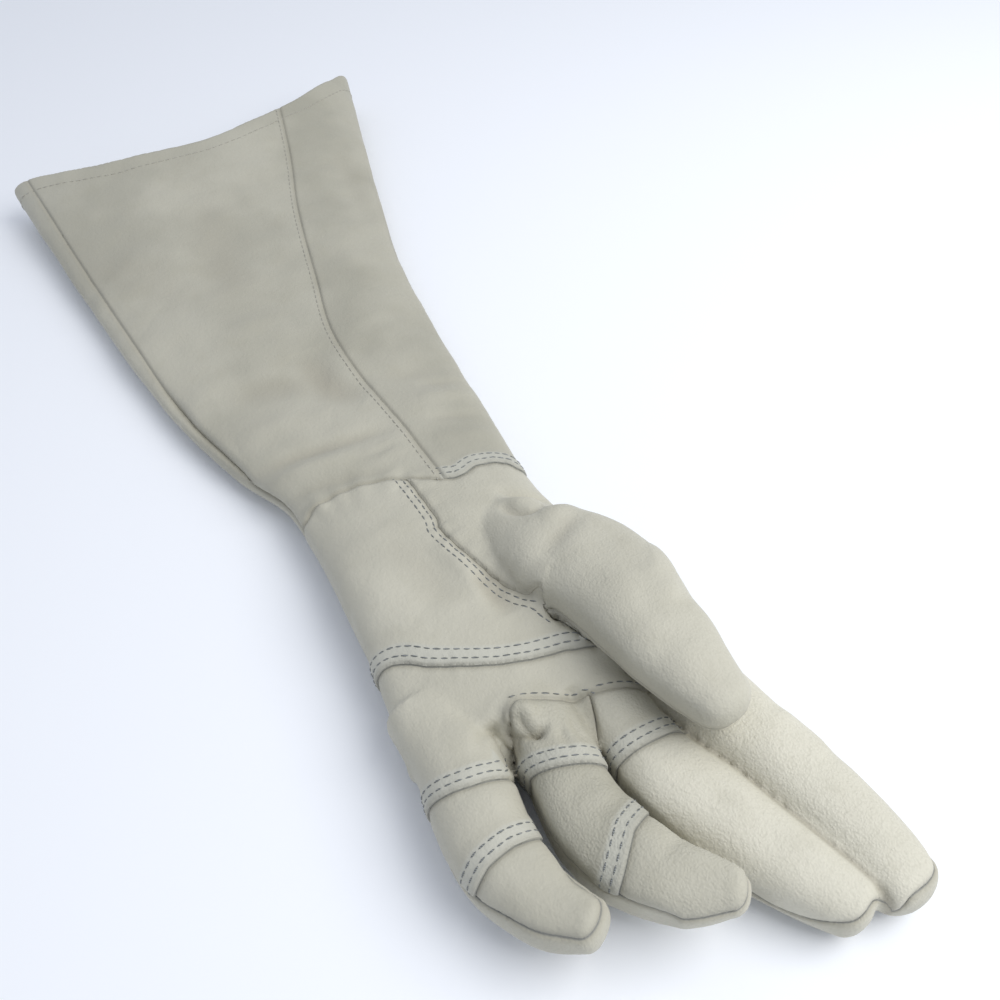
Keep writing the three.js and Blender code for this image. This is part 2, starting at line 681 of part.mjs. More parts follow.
// Fingers: each front is cut by its bands, and what is left of the palm is the patch below them
function pastBand(digit, band) {
  const falling = digit.rows.map((row) => ({ back: -row.forward }));
  const path = band.map(({ forward, across }) => {
    const section = digitSection(digit, fingerHeight, rowAt(falling, "back", -forward));
    return section.centre.clone().addScaledVector(section.side, across * section.halfWidth);
  });
  return [...path, { x: path.at(-1).x + side, y: tips }, { x: path[0].x - side, y: tips }];
}
for (const [name, digit] of Object.entries(fingers)) {
  let front = top.intersect(lane(name, true));
  top = top.subtract(lane(name, true, seamGap));
  digit.bands.forEach((band, k) => {
    const plan = pastBand(digit, band);
    add(digit.patches[k], front.subtract(prism(plan, seamGap)));
    front = front.intersect(prism(plan));
  });
  add(digit.patches.at(-1), front);
}
add("palm_patch", top);

export default group;
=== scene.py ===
import math
from functools import partial

import bmesh
import bpy
import numpy as np
from mathutils import Matrix, Vector, noise


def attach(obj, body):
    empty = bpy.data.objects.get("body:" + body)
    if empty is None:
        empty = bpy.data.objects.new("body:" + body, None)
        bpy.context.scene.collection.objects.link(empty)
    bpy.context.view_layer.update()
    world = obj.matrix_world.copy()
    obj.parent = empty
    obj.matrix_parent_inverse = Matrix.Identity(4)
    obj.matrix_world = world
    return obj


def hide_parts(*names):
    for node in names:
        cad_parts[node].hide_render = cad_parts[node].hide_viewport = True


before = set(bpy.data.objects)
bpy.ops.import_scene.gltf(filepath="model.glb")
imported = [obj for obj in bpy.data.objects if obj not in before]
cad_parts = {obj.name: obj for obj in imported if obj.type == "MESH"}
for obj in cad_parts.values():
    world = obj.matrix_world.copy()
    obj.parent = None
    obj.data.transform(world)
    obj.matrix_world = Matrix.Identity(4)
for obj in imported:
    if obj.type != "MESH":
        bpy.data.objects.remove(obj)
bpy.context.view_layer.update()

bl_info = {
    "name": "Leather gauntlet",
    "version": (1, 0, 0),
    "blender": (4, 5, 0),
    "location": "3D View > Sidebar > Glove",
    "description": "A left-hand leather gauntlet glove lying palm up, panel by panel",
    "category": "Object",
}

# Shapes are worked out in millimetres, in the part's own frame, and become metres in new_mesh.
MM = 0.001

# Driving dimensions
CUFF_LENGTH = 255.0
CUFF_WIDTH = 187.0
HEM_HEIGHT = 29.0
WRIST_WIDTH = 79.0
PALM_LENGTH = 100.0
PALM_WIDTH = 99.0
PALM_HEIGHT = 28.0
HEM_FOLD = 9.0
SIDE_SEAM_HEIGHT = 7.0
FINGER_HEIGHT = 23.0
THUMB_HEIGHT = 25.0
THUMB_GAP = 2.2
SLOT_WIDTHS = {"pinky_ring": 3.4, "ring_middle": 2.8}

# Powers of the superellipses that the sections follow
BODY_SQUARENESS = 2.7
DIGIT_SQUARENESS = 2.35
# How far the body's sections would reach below the table, on which they lie flat
FLATTEN = 1.0
# How far the skin runs on past the hem before it is cut there
PAST_HEM = 10.0
# How much nearer to the wrist the little finger's strip starts on its outer side than at the crotch
CROTCH_RISE = 5.0
# Where the strip between the little and ring fingers ends
PATCH_END = -111.0
# Further than any point of the glove, for the ends of outlines, and past the fingertips, for the slots
FAR = 400.0
SLOT_END = -260.0
# The distance from a seam where there is none near
NONE_NEAR = 50.0
# What is added to a seam's distance, so that its tints and the painted shade in its crevice fade where it is
# weak
LAP_FADE = 20.0
SEAM_SHADE_FADE = 2.0
LAP_SEAM_SHADE = 0.3
WRIST_SEAM_SHADE = 0.2
# How near to zero a field may come before it is moved off it
NEAR_ZERO = 1e-4
# The share of a panel's faces below which a loose bit of it is left out, and what is welded together, in mm
CRUMB = 0.05
SLIVER = 0.12
# The angle over which an edge of a panel is sharp, in degrees
SHARP = 52
# Where stitches start above the table, in mm, and how much they differ in size
LOWEST_STITCH = 1.0
UNEVEN = 0.12


def table(columns, *rows):
    """Rows of numbers as dicts by column."""
    return [dict(zip(columns.split(), row)) for row in rows]


# The cuff from the hem to the wrist, and the palm from there on, in shares of their length, width and height
CUFF_ROWS = table(
    "along lean flare height bow slant",
    (1.0, 0.098, 1.0, 1.0, 0.139, 0.05),
    (0.869, 0.073, 0.85, 0.81, 0.108, 0.05),
    (0.695, 0.04, 0.648, 0.645, 0.07, 0.04),
    (0.502, 0.009, 0.439, 0.56, 0.035, 0.03),
    (0.328, -0.003, 0.293, 0.56, 0.015, 0.02),
    (0.193, -0.002, 0.157, 0.64, 0.004, 0.01),
    (0.097, 0.006, 0.043, 0.74, 0.0, 0.0),
)
PALM_ROWS = table(
    "along lean widen height slant",
    (0.0, -0.005, 0.0, 0.857, 0.0),
    (0.14, -0.022, -0.07, 0.91, 0.0),
    (0.28, -0.03, -0.01, 0.95, 0.0),
    (0.45, -0.03, 0.15, 0.98, -0.02),
    (0.63, -0.03, 0.4, 0.97, -0.06),
    (0.8, -0.028, 0.66, 0.91, -0.1),
    (0.94, -0.04, 0.85, 0.82, -0.12),
)
# Sections of a finger or the thumb, from its root: where they lie and their seam's height, in shares of its
# length, its width and its height
SECTION = "forward aside wide rise high seam"
FINGERS = {
    "pinky": dict(
        length=77.5, width=26.0, root=(-0.414, 0.78), tip=0.045,
        rows=table(
            SECTION,
            (-0.08, 0.03, 0.92, 0.56, 0.94, 0.304), (0.1, 0.024, 0.91, 0.56, 1.0, 0.304),
            (0.22, 0.018, 0.94, 0.56, 1.02, 0.304), (0.355, 0.0, 1.0, 0.56, 1.02, 0.32),
            (0.47, -0.02, 0.965, 0.55, 0.98, 0.46), (0.58, -0.025, 0.93, 0.57, 0.95, 0.64),
            (0.69, -0.008, 0.87, 0.62, 0.88, 0.8), (0.81, 0.024, 0.74, 0.72, 0.76, 0.94),
            (0.92, 0.088, 0.52, 0.88, 0.56, 1.04),
        ),
        patches=["pinky_mid_patch", "pinky_tip_patch"],
        bands=[[(0.63, -1.6), (0.6, -0.5), (0.6, 0.2), (0.66, 1.6)]],
    ),
    "ring": dict(
        length=87.0, width=25.0, root=(-0.125, 0.81), tip=0.05,
        rows=table(
            SECTION,
            (-0.06, -0.01, 1.0, 0.56, 0.94, 0.304), (0.07, -0.012, 1.02, 0.56, 1.0, 0.304),
            (0.18, -0.016, 1.0, 0.57, 1.02, 0.304), (0.32, -0.032, 0.95, 0.6, 1.02, 0.36),
            (0.47, -0.068, 0.97, 0.62, 1.0, 0.55), (0.595, -0.07, 1.0, 0.65, 0.97, 0.68),
            (0.69, -0.046, 1.0, 0.7, 0.92, 0.78), (0.79, -0.002, 0.92, 0.8, 0.82, 0.89),
            (0.87, 0.066, 0.77, 0.92, 0.67, 1.0), (0.93, 0.13, 0.55, 1.03, 0.5, 1.08),
        ),
        patches=["ring_base_patch", "ring_mid_patch", "ring_tip_patch"],
        bands=[
            [(0.335, -1.6), (0.42, 1.6)],
            [(0.74, -1.6), (0.71, -0.5), (0.67, 0.3), (0.65, 1.6)],
        ],
    ),
    "middle": dict(
        length=104.0, width=26.0, root=(0.07, 0.82), tip=0.06,
        rows=table(
            SECTION,
            (-0.06, 0.0, 0.88, 0.54, 0.94, 0.304), (0.1, 0.0, 0.88, 0.54, 0.97, 0.304),
            (0.22, 0.0, 0.9, 0.53, 0.97, 0.304), (0.32, -0.003, 0.92, 0.52, 0.96, 0.33),
            (0.41, 0.003, 0.98, 0.5, 0.96, 0.35), (0.5, 0.024, 1.02, 0.49, 0.95, 0.35),
            (0.615, 0.056, 0.99, 0.48, 0.92, 0.35), (0.71, 0.09, 0.92, 0.47, 0.9, 0.35),
            (0.83, 0.142, 0.8, 0.45, 0.85, 0.42), (0.92, 0.184, 0.66, 0.42, 0.76, 0.62),
        ),
        patches=["middle_base_patch", "middle_tip_patch"],
        bands=[[(0.345, -1.6), (0.4, 1.6)]],
    ),
    "index": dict(
        length=102.5, width=27.0, root=(0.323, 0.88), tip=0.07,
        rows=table(
            SECTION,
            (-0.08, -0.02, 0.96, 0.52, 0.9, 0.304), (0.08, -0.01, 1.0, 0.52, 0.92, 0.304),
            (0.17, 0.0, 1.02, 0.51, 0.92, 0.304), (0.26, 0.005, 1.02, 0.5, 0.92, 0.33),
            (0.37, 0.02, 0.97, 0.5, 0.92, 0.35), (0.46, 0.04, 0.93, 0.5, 0.92, 0.35),
            (0.58, 0.06, 0.88, 0.48, 0.91, 0.35), (0.69, 0.075, 0.87, 0.46, 0.88, 0.35),
            (0.81, 0.086, 0.82, 0.44, 0.83, 0.4), (0.91, 0.089, 0.73, 0.41, 0.75, 0.6),
        ),
        patches=["index_front"],
        bands=[],
    ),
}
THUMB = dict(
    length=111.0, width=36.0, root=(0.141, 0.2), tip=0.06,
    free=3,
    rows=table(
        SECTION,
        (0.0, 0.0, 0.78, 0.56, 0.72, 0.44), (0.16, 0.02, 0.81, 0.76, 0.92, 0.64),
        (0.3, 0.05, 0.98, 0.98, 1.04, 0.86), (0.43, 0.096, 1.0, 1.16, 1.0, 1.04),
        (0.55, 0.102, 0.93, 1.28, 0.92, 1.16), (0.685, 0.094, 0.82, 1.36, 0.84, 1.24),
        (0.765, 0.094, 0.77, 1.372, 0.8, 1.25), (0.85, 0.094, 0.64, 1.372, 0.744, 1.25),
        (0.94, 0.103, 0.5, 1.36, 0.624, 1.24),
    ),
)

# Seams in plan: (along, across), along in shares of the cuff's or the palm's length
WRIST_SEAM = [
    (0.04, -1.5), (0.04, -1.0), (0.046, -0.86), (0.045, -0.56), (0.025, -0.2), (-0.06, 0.3), (-0.05, 0.55),
    (-0.07, 0.79), (-0.12, 1.0), (-0.13, 1.5),
]
CUFF_TOP_SEAM = [
    (1.25, 0.616), (0.92, 0.4), (0.73, 0.353), (0.54, 0.325), (0.36, 0.235), (0.1, 0.2), (-0.1, 0.24),
]
# (along, left, right)
CUFF_SIDE_SEAMS = [
    (1.2, -0.93, 0.93), (0.42, -0.935, 0.93), (0.32, -0.95, 0.92), (0.19, -0.975, 0.9),
    (-0.1, -0.98, 0.88),
]
THUMB_SEAM = [
    (0.1, -0.08), (-0.17, -0.02), (-0.25, -0.05), (-0.42, 0.01), (-0.58, 0.1), (-0.66, 0.2),
]
PALM_BAND = [
    (-0.57, -1.5), (-0.58, -0.95), (-0.675, -0.65), (-0.754, -0.38), (-0.804, -0.14), (-0.836, 0.1),
    (-0.88, 0.4), (-0.95, 1.5),
]
FINGER_BASES = {
    "pinky": [(-1.0, -1.5), (-1.01, -1.04), (-1.05, -0.79), (-1.07, -0.53)],
    "ring": [(-0.9, -0.31), (-0.916, -0.21), (-0.95, -0.08)],
    "middle": [(-1.015, 0.27)],
    "index": [(-1.03, 0.75), (-0.99, 1.5)],
}
# (one side, the other, the corner of the seams at its base, crotch)
FORKS = [
    ("pinky", "ring", (-0.92, -0.375), 1.05),
    ("ring", "middle", (-0.985, 0.1), 1.13),
    ("middle", "index", (-1.05, 0.44), 1.17),
]

# Soft folds and dents of the top side, in mm: a plan path, how wide it spreads and how far it lifts
FOLDS = {
    "hand": [
        ([(-42, 84), (-24, 82), (0, 69)], 9.0, -1.6), ([(-1, 95), (-1, 67), (9, 53)], 8.0, -2.2),
        ([(-44, 60), (-24, 58), (-8, 50)], 6.0, 1.5), ([(-48, 43), (-27, 38), (-6, 33), (9, 29)], 4.0, -1.9),
        ([(-44, 34), (-26, 29), (-8, 25)], 3.6, 1.4), ([(-46, 26), (-24, 19), (-2, 9)], 3.0, -1.3),
        ([(-38, 14), (-33, 12), (-29, 9)], 1.8, 1.1), ([(14, 62), (28, 57), (42, 53)], 6.0, -1.1),
        ([(26, 50), (35, 46), (43, 43)], 3.2, -1.1), ([(22, 41), (32, 37), (42, 34)], 4.0, 1.1),
        ([(19, 29), (30, 24), (39, 21)], 3.0, -1.1), ([(16, 18), (28, 12), (38, 10)], 4.0, 0.9),
        ([(-46, 150), (-20, 120), (-4, 92)], 14.0, 1.6), ([(-70, 230), (-40, 180), (-24, 140)], 18.0, -1.2),
        ([(10, 230), (-6, 170), (-2, 120)], 16.0, -1.4), ([(82, 235), (72, 190), (62, 160)], 8.0, -1.2),
        ([(50, 190), (40, 130), (34, 90)], 10.0, 1.3), ([(-40, -20), (-34, -38), (-28, -52)], 7.0, 1.2),
        ([(-22, -14), (-18, -34), (-20, -56)], 8.0, -1.2), ([(-44, -58), (-36, -66), (-26, -72)], 5.0, -0.7),
        ([(-5, -44), (-3, -54), (-3, -66)], 5.0, -2.4), ([(-9, -30), (-7, -44), (-8, -58)], 3.0, 1.0),
        ([(17, -27), (17, -34), (21, -39), (28, -37)], 2.2, -2.0),
        ([(16, -23), (22, -31), (30, -34)], 2.4, 1.5), ([(20, -18), (26, -26), (34, -31)], 2.2, -1.4),
        ([(-23, -93), (-18, -93.5), (-16.5, -98)], 3.0, 3.2),
        ([(-24, -97), (-19.5, -101.5), (-15, -101)], 1.3, -2.8),
        ([(-24, -93), (-25, -98), (-27, -104)], 1.8, -2.6),
        ([(-19, -94), (-20, -98), (-18, -103)], 1.3, -1.6),
        ([(-11, -102), (-13, -106), (-13, -111)], 1.4, -0.9),
        ([(-6, -101), (-8, -105), (-8, -111)], 1.3, -0.7), ([(-40, -86), (-32, -92), (-24, -92)], 5.0, 0.9),
        ([(-34, -96), (-30, -92), (-25, -91)], 2.0, -0.9),
        ([(-44, -100), (-38, -110), (-34, -118)], 6.0, 0.7),
        ([(-49, -107), (-40, -106), (-31, -109)], 2.2, -0.5),
        ([(-24, -122), (-14, -120), (-6, -124)], 3.0, -0.5),
        ([(-20, -128), (-12, -129), (-4, -127)], 2.4, -0.5),
        ([(-14, -148), (-6, -146), (2, -150)], 2.2, -0.5), ([(8, -132), (18, -130), (26, -134)], 3.0, -0.4),
        ([(30, -112), (42, -110), (52, -116)], 3.4, -0.6), ([(36, -130), (46, -128), (56, -134)], 3.4, -0.5),
        ([(40, -150), (50, -148), (58, -154)], 3.0, -0.4),
    ],
    "thumb": [
        ([(32, -50), (24, -54), (17, -57), (10, -60)], 4.0, -1.5),
        ([(34, -44), (27, -46), (20, -44)], 4.0, 1.2), ([(38, -60), (33, -70), (30, -84)], 6.0, -0.9),
        ([(44, -74), (36, -82), (28, -86)], 4.0, 0.7), ([(40, -92), (34, -98), (26, -98)], 3.4, -0.6),
    ],
}
# Puckers along a seam: waves in mm long, as far as they reach and as high as they stand, between limits in x
PUCKERS = [
    dict(seam="wrist", waves=8.5, reach=7.0, height=0.26, x=(-60, 2)),
    dict(seam="wrist", waves=6.0, reach=4.0, height=0.14, x=(2, 60)),
    dict(seam="band", waves=7.5, reach=3.0, height=0.08, x=(-60, 30)),
    dict(seam="thumb", waves=7.0, reach=5.0, height=0.25, x=(-20, 20)),
]


def linear(hex_colour):
    """An sRGB hex colour as linear RGBA."""
    channels = [int(hex_colour[k : k + 2], 16) / 255 for k in (1, 3, 5)]
    return [c / 12.92 if c <= 0.04045 else ((c + 0.055) / 1.055) ** 2.4 for c in channels] + [1.0]


def smooth(t):
    t = np.clip(t, 0.0, 1.0)
    return t * t * (3.0 - 2.0 * t)


def ramp(values, start, end):
    """0 up to start, 1 from end on and smooth between them, also where end is the lower one."""
    return smooth((values - start) / (end - start))


def column(rows, key, u):
    """The value of one column at u, counted in rows, on a smooth curve through the rows."""
    values = np.array([r[key] for r in rows], float)
    last = len(values) - 1
    u = np.asarray(u, float)
    i = np.clip(np.floor(u).astype(int), 0, last - 1)
    f = u - i

    def at(k):
        return values[np.clip(k, 0, last)]

    slope1 = (at(i + 1) - at(i - 1)) / 2
    slope2 = (at(i + 2) - at(i)) / 2
    return (
        (2 * f**3 - 3 * f**2 + 1) * at(i)
        + (f**3 - 2 * f**2 + f) * slope1
        + (3 * f**2 - 2 * f**3) * at(i + 1)
        + (f**3 - f**2) * slope2
    )


def row_at(rows, key, value):
    """The u at which a column that only falls reaches a value, held inside the table."""
    us = np.linspace(0, len(rows) - 1, 1200)
    return np.interp(value, column(rows, key, us)[::-1], us[::-1])


def oval(count, squareness):
    """Points round a superellipse with half sizes of 1."""
    angle = np.arange(count) / count * 2 * np.pi
    power = 2 / squareness
    c, s = np.cos(angle), np.sin(angle)
    return np.sign(c) * np.abs(c) ** power, np.sign(s) * np.abs(s) ** power


BODY = [
    dict(
        y=r["along"] * CUFF_LENGTH,
        x=r["lean"] * CUFF_LENGTH,
        half=(WRIST_WIDTH + (CUFF_WIDTH - WRIST_WIDTH) * r["flare"]) / 2,
        height=r["height"] * HEM_HEIGHT,
        bow=r["bow"] * CUFF_LENGTH,
        slant=r["slant"],
    )
    for r in CUFF_ROWS
] + [
    dict(
        y=-r["along"] * PALM_LENGTH,
        x=r["lean"] * PALM_WIDTH,
        half=(WRIST_WIDTH + (PALM_WIDTH - WRIST_WIDTH) * r["widen"]) / 2,
        height=r["height"] * PALM_HEIGHT,
        bow=0.0,
        slant=r["slant"],
    )
    for r in PALM_ROWS
]


def body_rings(past_hem):
    """The rings of the body, from past the hem to the knuckles."""
    us = np.linspace(0, len(BODY) - 1, 200)
    us = np.concatenate([[0.0], us])
    shift = np.zeros(len(us))
    shift[0] = past_hem
    c, s = oval(160, BODY_SQUARENESS)
    at = {k: column(BODY, k, us)[:, None] for k in ("y", "x", "half", "height", "bow", "slant")}
    tall = (at["height"] + FLATTEN) / 2
    x = at["x"] + c * at["half"]
    y = at["y"] + at["bow"] * c * c + at["slant"] * x + shift[:, None]
    z = at["height"] - tall + s * tall
    return np.stack([x, y + 0 * x, np.maximum(z, 0)], -1)


def sections(digit, height, u):
    """Centres, directions and half sizes of a finger's sections at each u."""
    rows = digit["rows"]
    last = len(rows) - 1

    def centre(v):
        v = np.clip(v, 0, last)
        return np.stack(
            [
                digit["root"][0] * PALM_WIDTH + column(rows, "aside", v) * digit["length"],
                -digit["root"][1] * PALM_LENGTH - column(rows, "forward", v) * digit["length"],
                column(rows, "rise", v) * height,
            ],
            -1,
        )

    u = np.atleast_1d(np.asarray(u, float))
    ahead = centre(u + 0.1) - centre(u - 0.1)
    ahead /= np.linalg.norm(ahead, axis=1)[:, None]
    side = np.cross([0.0, 0.0, 1.0], ahead)
    side /= np.linalg.norm(side, axis=1)[:, None]
    return dict(
        centre=centre(u),
        ahead=ahead,
        side=side,
        up=np.cross(ahead, side),
        half=column(rows, "wide", u) * digit["width"] / 2,
        tall=column(rows, "high", u) * height / 2,
        seam=column(rows, "seam", u) * height,
    )


def digit_rings(digit, height, grow=0.0, start=0, lead=0.0):
    """The rings of a finger or the thumb, with a rounded end."""
    last = len(digit["rows"]) - 1
    us = np.linspace(start, last, 8 * (last - start) + 1)
    angles = np.radians(np.linspace(0, 88, 13)[1:])
    dome = digit["tip"] * digit["length"] + grow
    us = np.concatenate([us, np.full(len(angles), float(last))])
    shrink = np.concatenate([np.ones(len(us) - len(angles)), np.cos(angles)])
    shift = np.concatenate([np.zeros(len(us) - len(angles)), np.sin(angles) * dome])
    if lead:
        us, shrink, shift = np.r_[start, us], np.r_[1.0, shrink], np.r_[-lead, shift]
    sec = sections(digit, height, us)
    c, s = oval(72, DIGIT_SQUARENESS)
    p = (
        sec["centre"][:, None]
        + sec["side"][:, None] * (c[None] * ((sec["half"] + grow) * shrink)[:, None])[..., None]
        + sec["up"][:, None] * (s[None] * ((sec["tall"] + grow) * shrink)[:, None])[..., None]
        + sec["ahead"][:, None] * shift[:, None, None]
    )
    p[..., 2] = np.maximum(p[..., 2], min(0.0, -grow))
    return p


def loft(rings):
    """Points and faces of a closed tube through rings, turned to face outwards."""
    count, around = rings.shape[:2]
    ids = np.arange(count * around).reshape(count, around)
    after = np.roll(ids, -1, axis=1)
    faces = np.stack([ids[:-1], after[:-1], after[1:], ids[1:]], -1).reshape(-1, 4).tolist()
    points = rings.reshape(-1, 3)
    ends = [rings[0].mean(0), rings[-1].mean(0)]
    first, final = len(points), len(points) + 1
    faces += [[int(b), int(a), first] for a, b in zip(ids[0], after[0])]
    faces += [[int(a), int(b), final] for a, b in zip(ids[-1], after[-1])]
    points = np.concatenate([points, ends])
    volume = sum(
        np.dot(points[f[0]], np.cross(points[f[k]], points[f[k + 1]]))
        for f in faces
        for k in range(1, len(f) - 1)
    )
    if volume < 0:
        faces = [f[::-1] for f in faces]
    return points, faces


def new_object(name, data):
    """A new object of the scene, at the origin."""
    obj = bpy.data.objects.new(name, data)
    bpy.context.scene.collection.objects.link(obj)
    return obj


def new_mesh(name, points, edges, faces):
    """A mesh from points in mm."""
    mesh = bpy.data.meshes.new(name)
    mesh.from_pydata((np.asarray(points) * MM).tolist(), edges, faces)
    return mesh


def scratch_object(name, points, faces):
    return new_object(name, new_mesh(name, points, [], faces))


def write_attribute(mesh, name, values):
    """Gives a mesh a number or a vector for each of its points."""
    kind, key = ("FLOAT", "value") if values.ndim == 1 else ("FLOAT_VECTOR", "vector")
    mesh.attributes.new(name, kind, "POINT").data.foreach_set(key, values.astype(np.float32).ravel())


def read_attribute(mesh, name, like):
    """The values of a mesh's attribute, in rows as wide as those of another array."""
    values = np.empty(len(mesh.vertices) * like[0].size, np.float32)
    mesh.attributes[name].data.foreach_get("value" if like.ndim == 1 else "vector", values)
    return values.reshape(-1, *like.shape[1:])


def modified(obj):
    """The object's mesh with its modifiers, as a new mesh."""
    bpy.context.view_layer.update()
    depsgraph = bpy.context.evaluated_depsgraph_get()
    return bpy.data.meshes.new_from_object(obj.evaluated_get(depsgraph))


def drop(obj):
    """Removes an object with its mesh."""
    mesh = obj.data
    bpy.data.objects.remove(obj)
    if mesh.users == 0:
        bpy.data.meshes.remove(mesh)


def arrays(mesh):
    """A mesh's points in mm and its faces as triangles."""
    co = np.empty(len(mesh.vertices) * 3)
    mesh.vertices.foreach_get("co", co)
    mesh.calc_loop_triangles()
    tri = np.empty(len(mesh.loop_triangles) * 3, np.int64)
    mesh.loop_triangles.foreach_get("vertices", tri)
    return co.reshape(-1, 3) / MM, tri.reshape(-1, 3)


def normals(co, tri):
    a, b, c = co[tri[:, 0]], co[tri[:, 1]], co[tri[:, 2]]
    face = np.cross(b - a, c - a)
    out = np.zeros_like(co)
    for k in range(3):
        np.add.at(out, tri[:, k], face)
    return out / np.maximum(np.linalg.norm(out, axis=1), 1e-12)[:, None]


def relax(co, tri, rounds, keep=None):
    """Smooths a mesh with little shrinking. keep: share of each point's move that is left out."""
    pairs = np.concatenate([tri[:, [0, 1]], tri[:, [1, 2]], tri[:, [2, 0]]])
    pairs = np.unique(np.sort(pairs, 1), axis=0)
    i, j = pairs[:, 0], pairs[:, 1]
    count = np.bincount(np.r_[i, j], minlength=len(co)).astype(float)[:, None]
    free = 1.0 if keep is None else (1.0 - keep)[:, None]
    for k in range(rounds):
        for step in (0.5, -0.47):
            total = np.zeros_like(co)
            for axis in range(3):
                total[:, axis] = np.bincount(i, co[j, axis], len(co))
                total[:, axis] += np.bincount(j, co[i, axis], len(co))
            co = co + step * free * (total / count - co)
    return co


def to_segments(xy, path):
    """Distance of plan points to a path, and the share of its length that lies before the nearest point."""
    path = np.asarray(path, float)
    best = np.full(len(xy), 1e9)
    where = np.zeros(len(xy))
    lengths = np.linalg.norm(np.diff(path, axis=0), axis=1)
    before = np.concatenate([[0], np.cumsum(lengths)])
    for k in range(len(path) - 1):
        a, b = path[k], path[k + 1]
        t = np.clip(((xy - a) @ (b - a)) / max(lengths[k] ** 2, 1e-9), 0, 1)
        d = np.linalg.norm(xy - (a + t[:, None] * (b - a)), axis=1)
        near = d < best
        best[near] = d[near]
        where[near] = (before[k] + t[near] * lengths[k]) / before[-1]
    return best, where


def inside(xy, outline):
    """Signed distance of plan points to a closed outline, positive inside."""
    ring = np.asarray(list(outline) + [outline[0]], float)
    distance = to_segments(xy, ring)[0]
    within = np.zeros(len(xy), bool)
    for a, b in zip(ring[:-1], ring[1:]):
        if a[1] == b[1]:
            continue
        crosses = (a[1] > xy[:, 1]) != (b[1] > xy[:, 1])
        within ^= crosses & (xy[:, 0] < (b[0] - a[0]) * (xy[:, 1] - a[1]) / (b[1] - a[1]) + a[0])
    return np.where(within, distance, -distance)


def on_body(point):
    """The plan point of the body at (along, across)."""
    along, across = point
    y = along * (CUFF_LENGTH if along > 0 else PALM_LENGTH)
    u = row_at(BODY, "y", y)
    return (float(column(BODY, "x", u) + across * column(BODY, "half", u)), y)


def curved(path, per=6):
    """A smooth plan path through points."""
    rows = table("x y", *path)
    us = np.linspace(0, len(rows) - 1, per * (len(rows) - 1) + 1)
    return list(zip(column(rows, "x", us).tolist(), column(rows, "y", us).tolist()))


def fork_path(fork):
    """The plan path between two neighbouring fingers, from the crotch to past their tips."""
    one, other, _, crotch = fork
    start = -crotch * PALM_LENGTH
    ends = [-FINGERS[n]["root"][1] * PALM_LENGTH - FINGERS[n]["length"] for n in (one, other)]
    ys = np.linspace(start, min(ends), 9)

    def edge(name, sign):
        digit = FINGERS[name]
        falling = [
            dict(y=-digit["root"][1] * PALM_LENGTH - r["forward"] * digit["length"])
            for r in digit["rows"]
        ]
        sec = sections(digit, FINGER_HEIGHT, row_at(falling, "y", ys))
        return sec["centre"][:, 0] + sign * np.abs(sec["side"][:, 0]) * sec["half"]

    xs = (edge(one, 1) + edge(other, -1)) / 2
    return list(zip(xs.tolist(), ys.tolist())) + [(float(xs[-1]), float(ys[-1] - FAR))]


FORK_PATHS = [fork_path(f) for f in FORKS]


# How far past the seam at its base a finger's strip takes up the path of the fork
LANE_STEP = 1.4


def lane(name, on_top):
    """A finger's strip of the plan, from the crotch line, or on top from the seam across its base."""
    names = list(FINGERS)
    i = names.index(name)
    crotch_left = (-FAR, FORK_PATHS[0][0][1] + CROTCH_RISE)
    crotch_right = (FAR, FORK_PATHS[-1][0][1])
    edges = [[on_body(FORKS[k][2])] + path if on_top else path for k, path in enumerate(FORK_PATHS)]
    left = edges[i - 1] if i else [crotch_left, (-FAR, -FAR)]
    right = edges[i] if i < len(edges) else [crotch_right, (FAR, -FAR)]
    start = []
    if not on_top or i:
        start.append(left[0])
    if on_top:
        start += [on_body(p) for p in FINGER_BASES[name]]
    if not on_top or i < len(edges):
        start.append(right[0])
    down = [p for p in right[1:] if p[1] < start[-1][1] - LANE_STEP]
    back = [p for p in left[1:] if p[1] < start[0][1] - LANE_STEP]
    return start + down + [(right[-1][0], -FAR), (left[-1][0], -FAR)] + back[::-1]


def past_band(digit, band):
    """The plan of a finger past one of its bands."""
    rows = [dict(back=-r["forward"]) for r in digit["rows"]]
    path = []
    for forward, across in band:
        sec = sections(digit, FINGER_HEIGHT, row_at(rows, "back", -forward))
        p = sec["centre"][0] + sec["side"][0] * across * sec["half"][0]
        path.append((float(p[0]), float(p[1])))
    return path + [(path[-1][0] + FAR, -FAR), (path[0][0] - FAR, -FAR)]


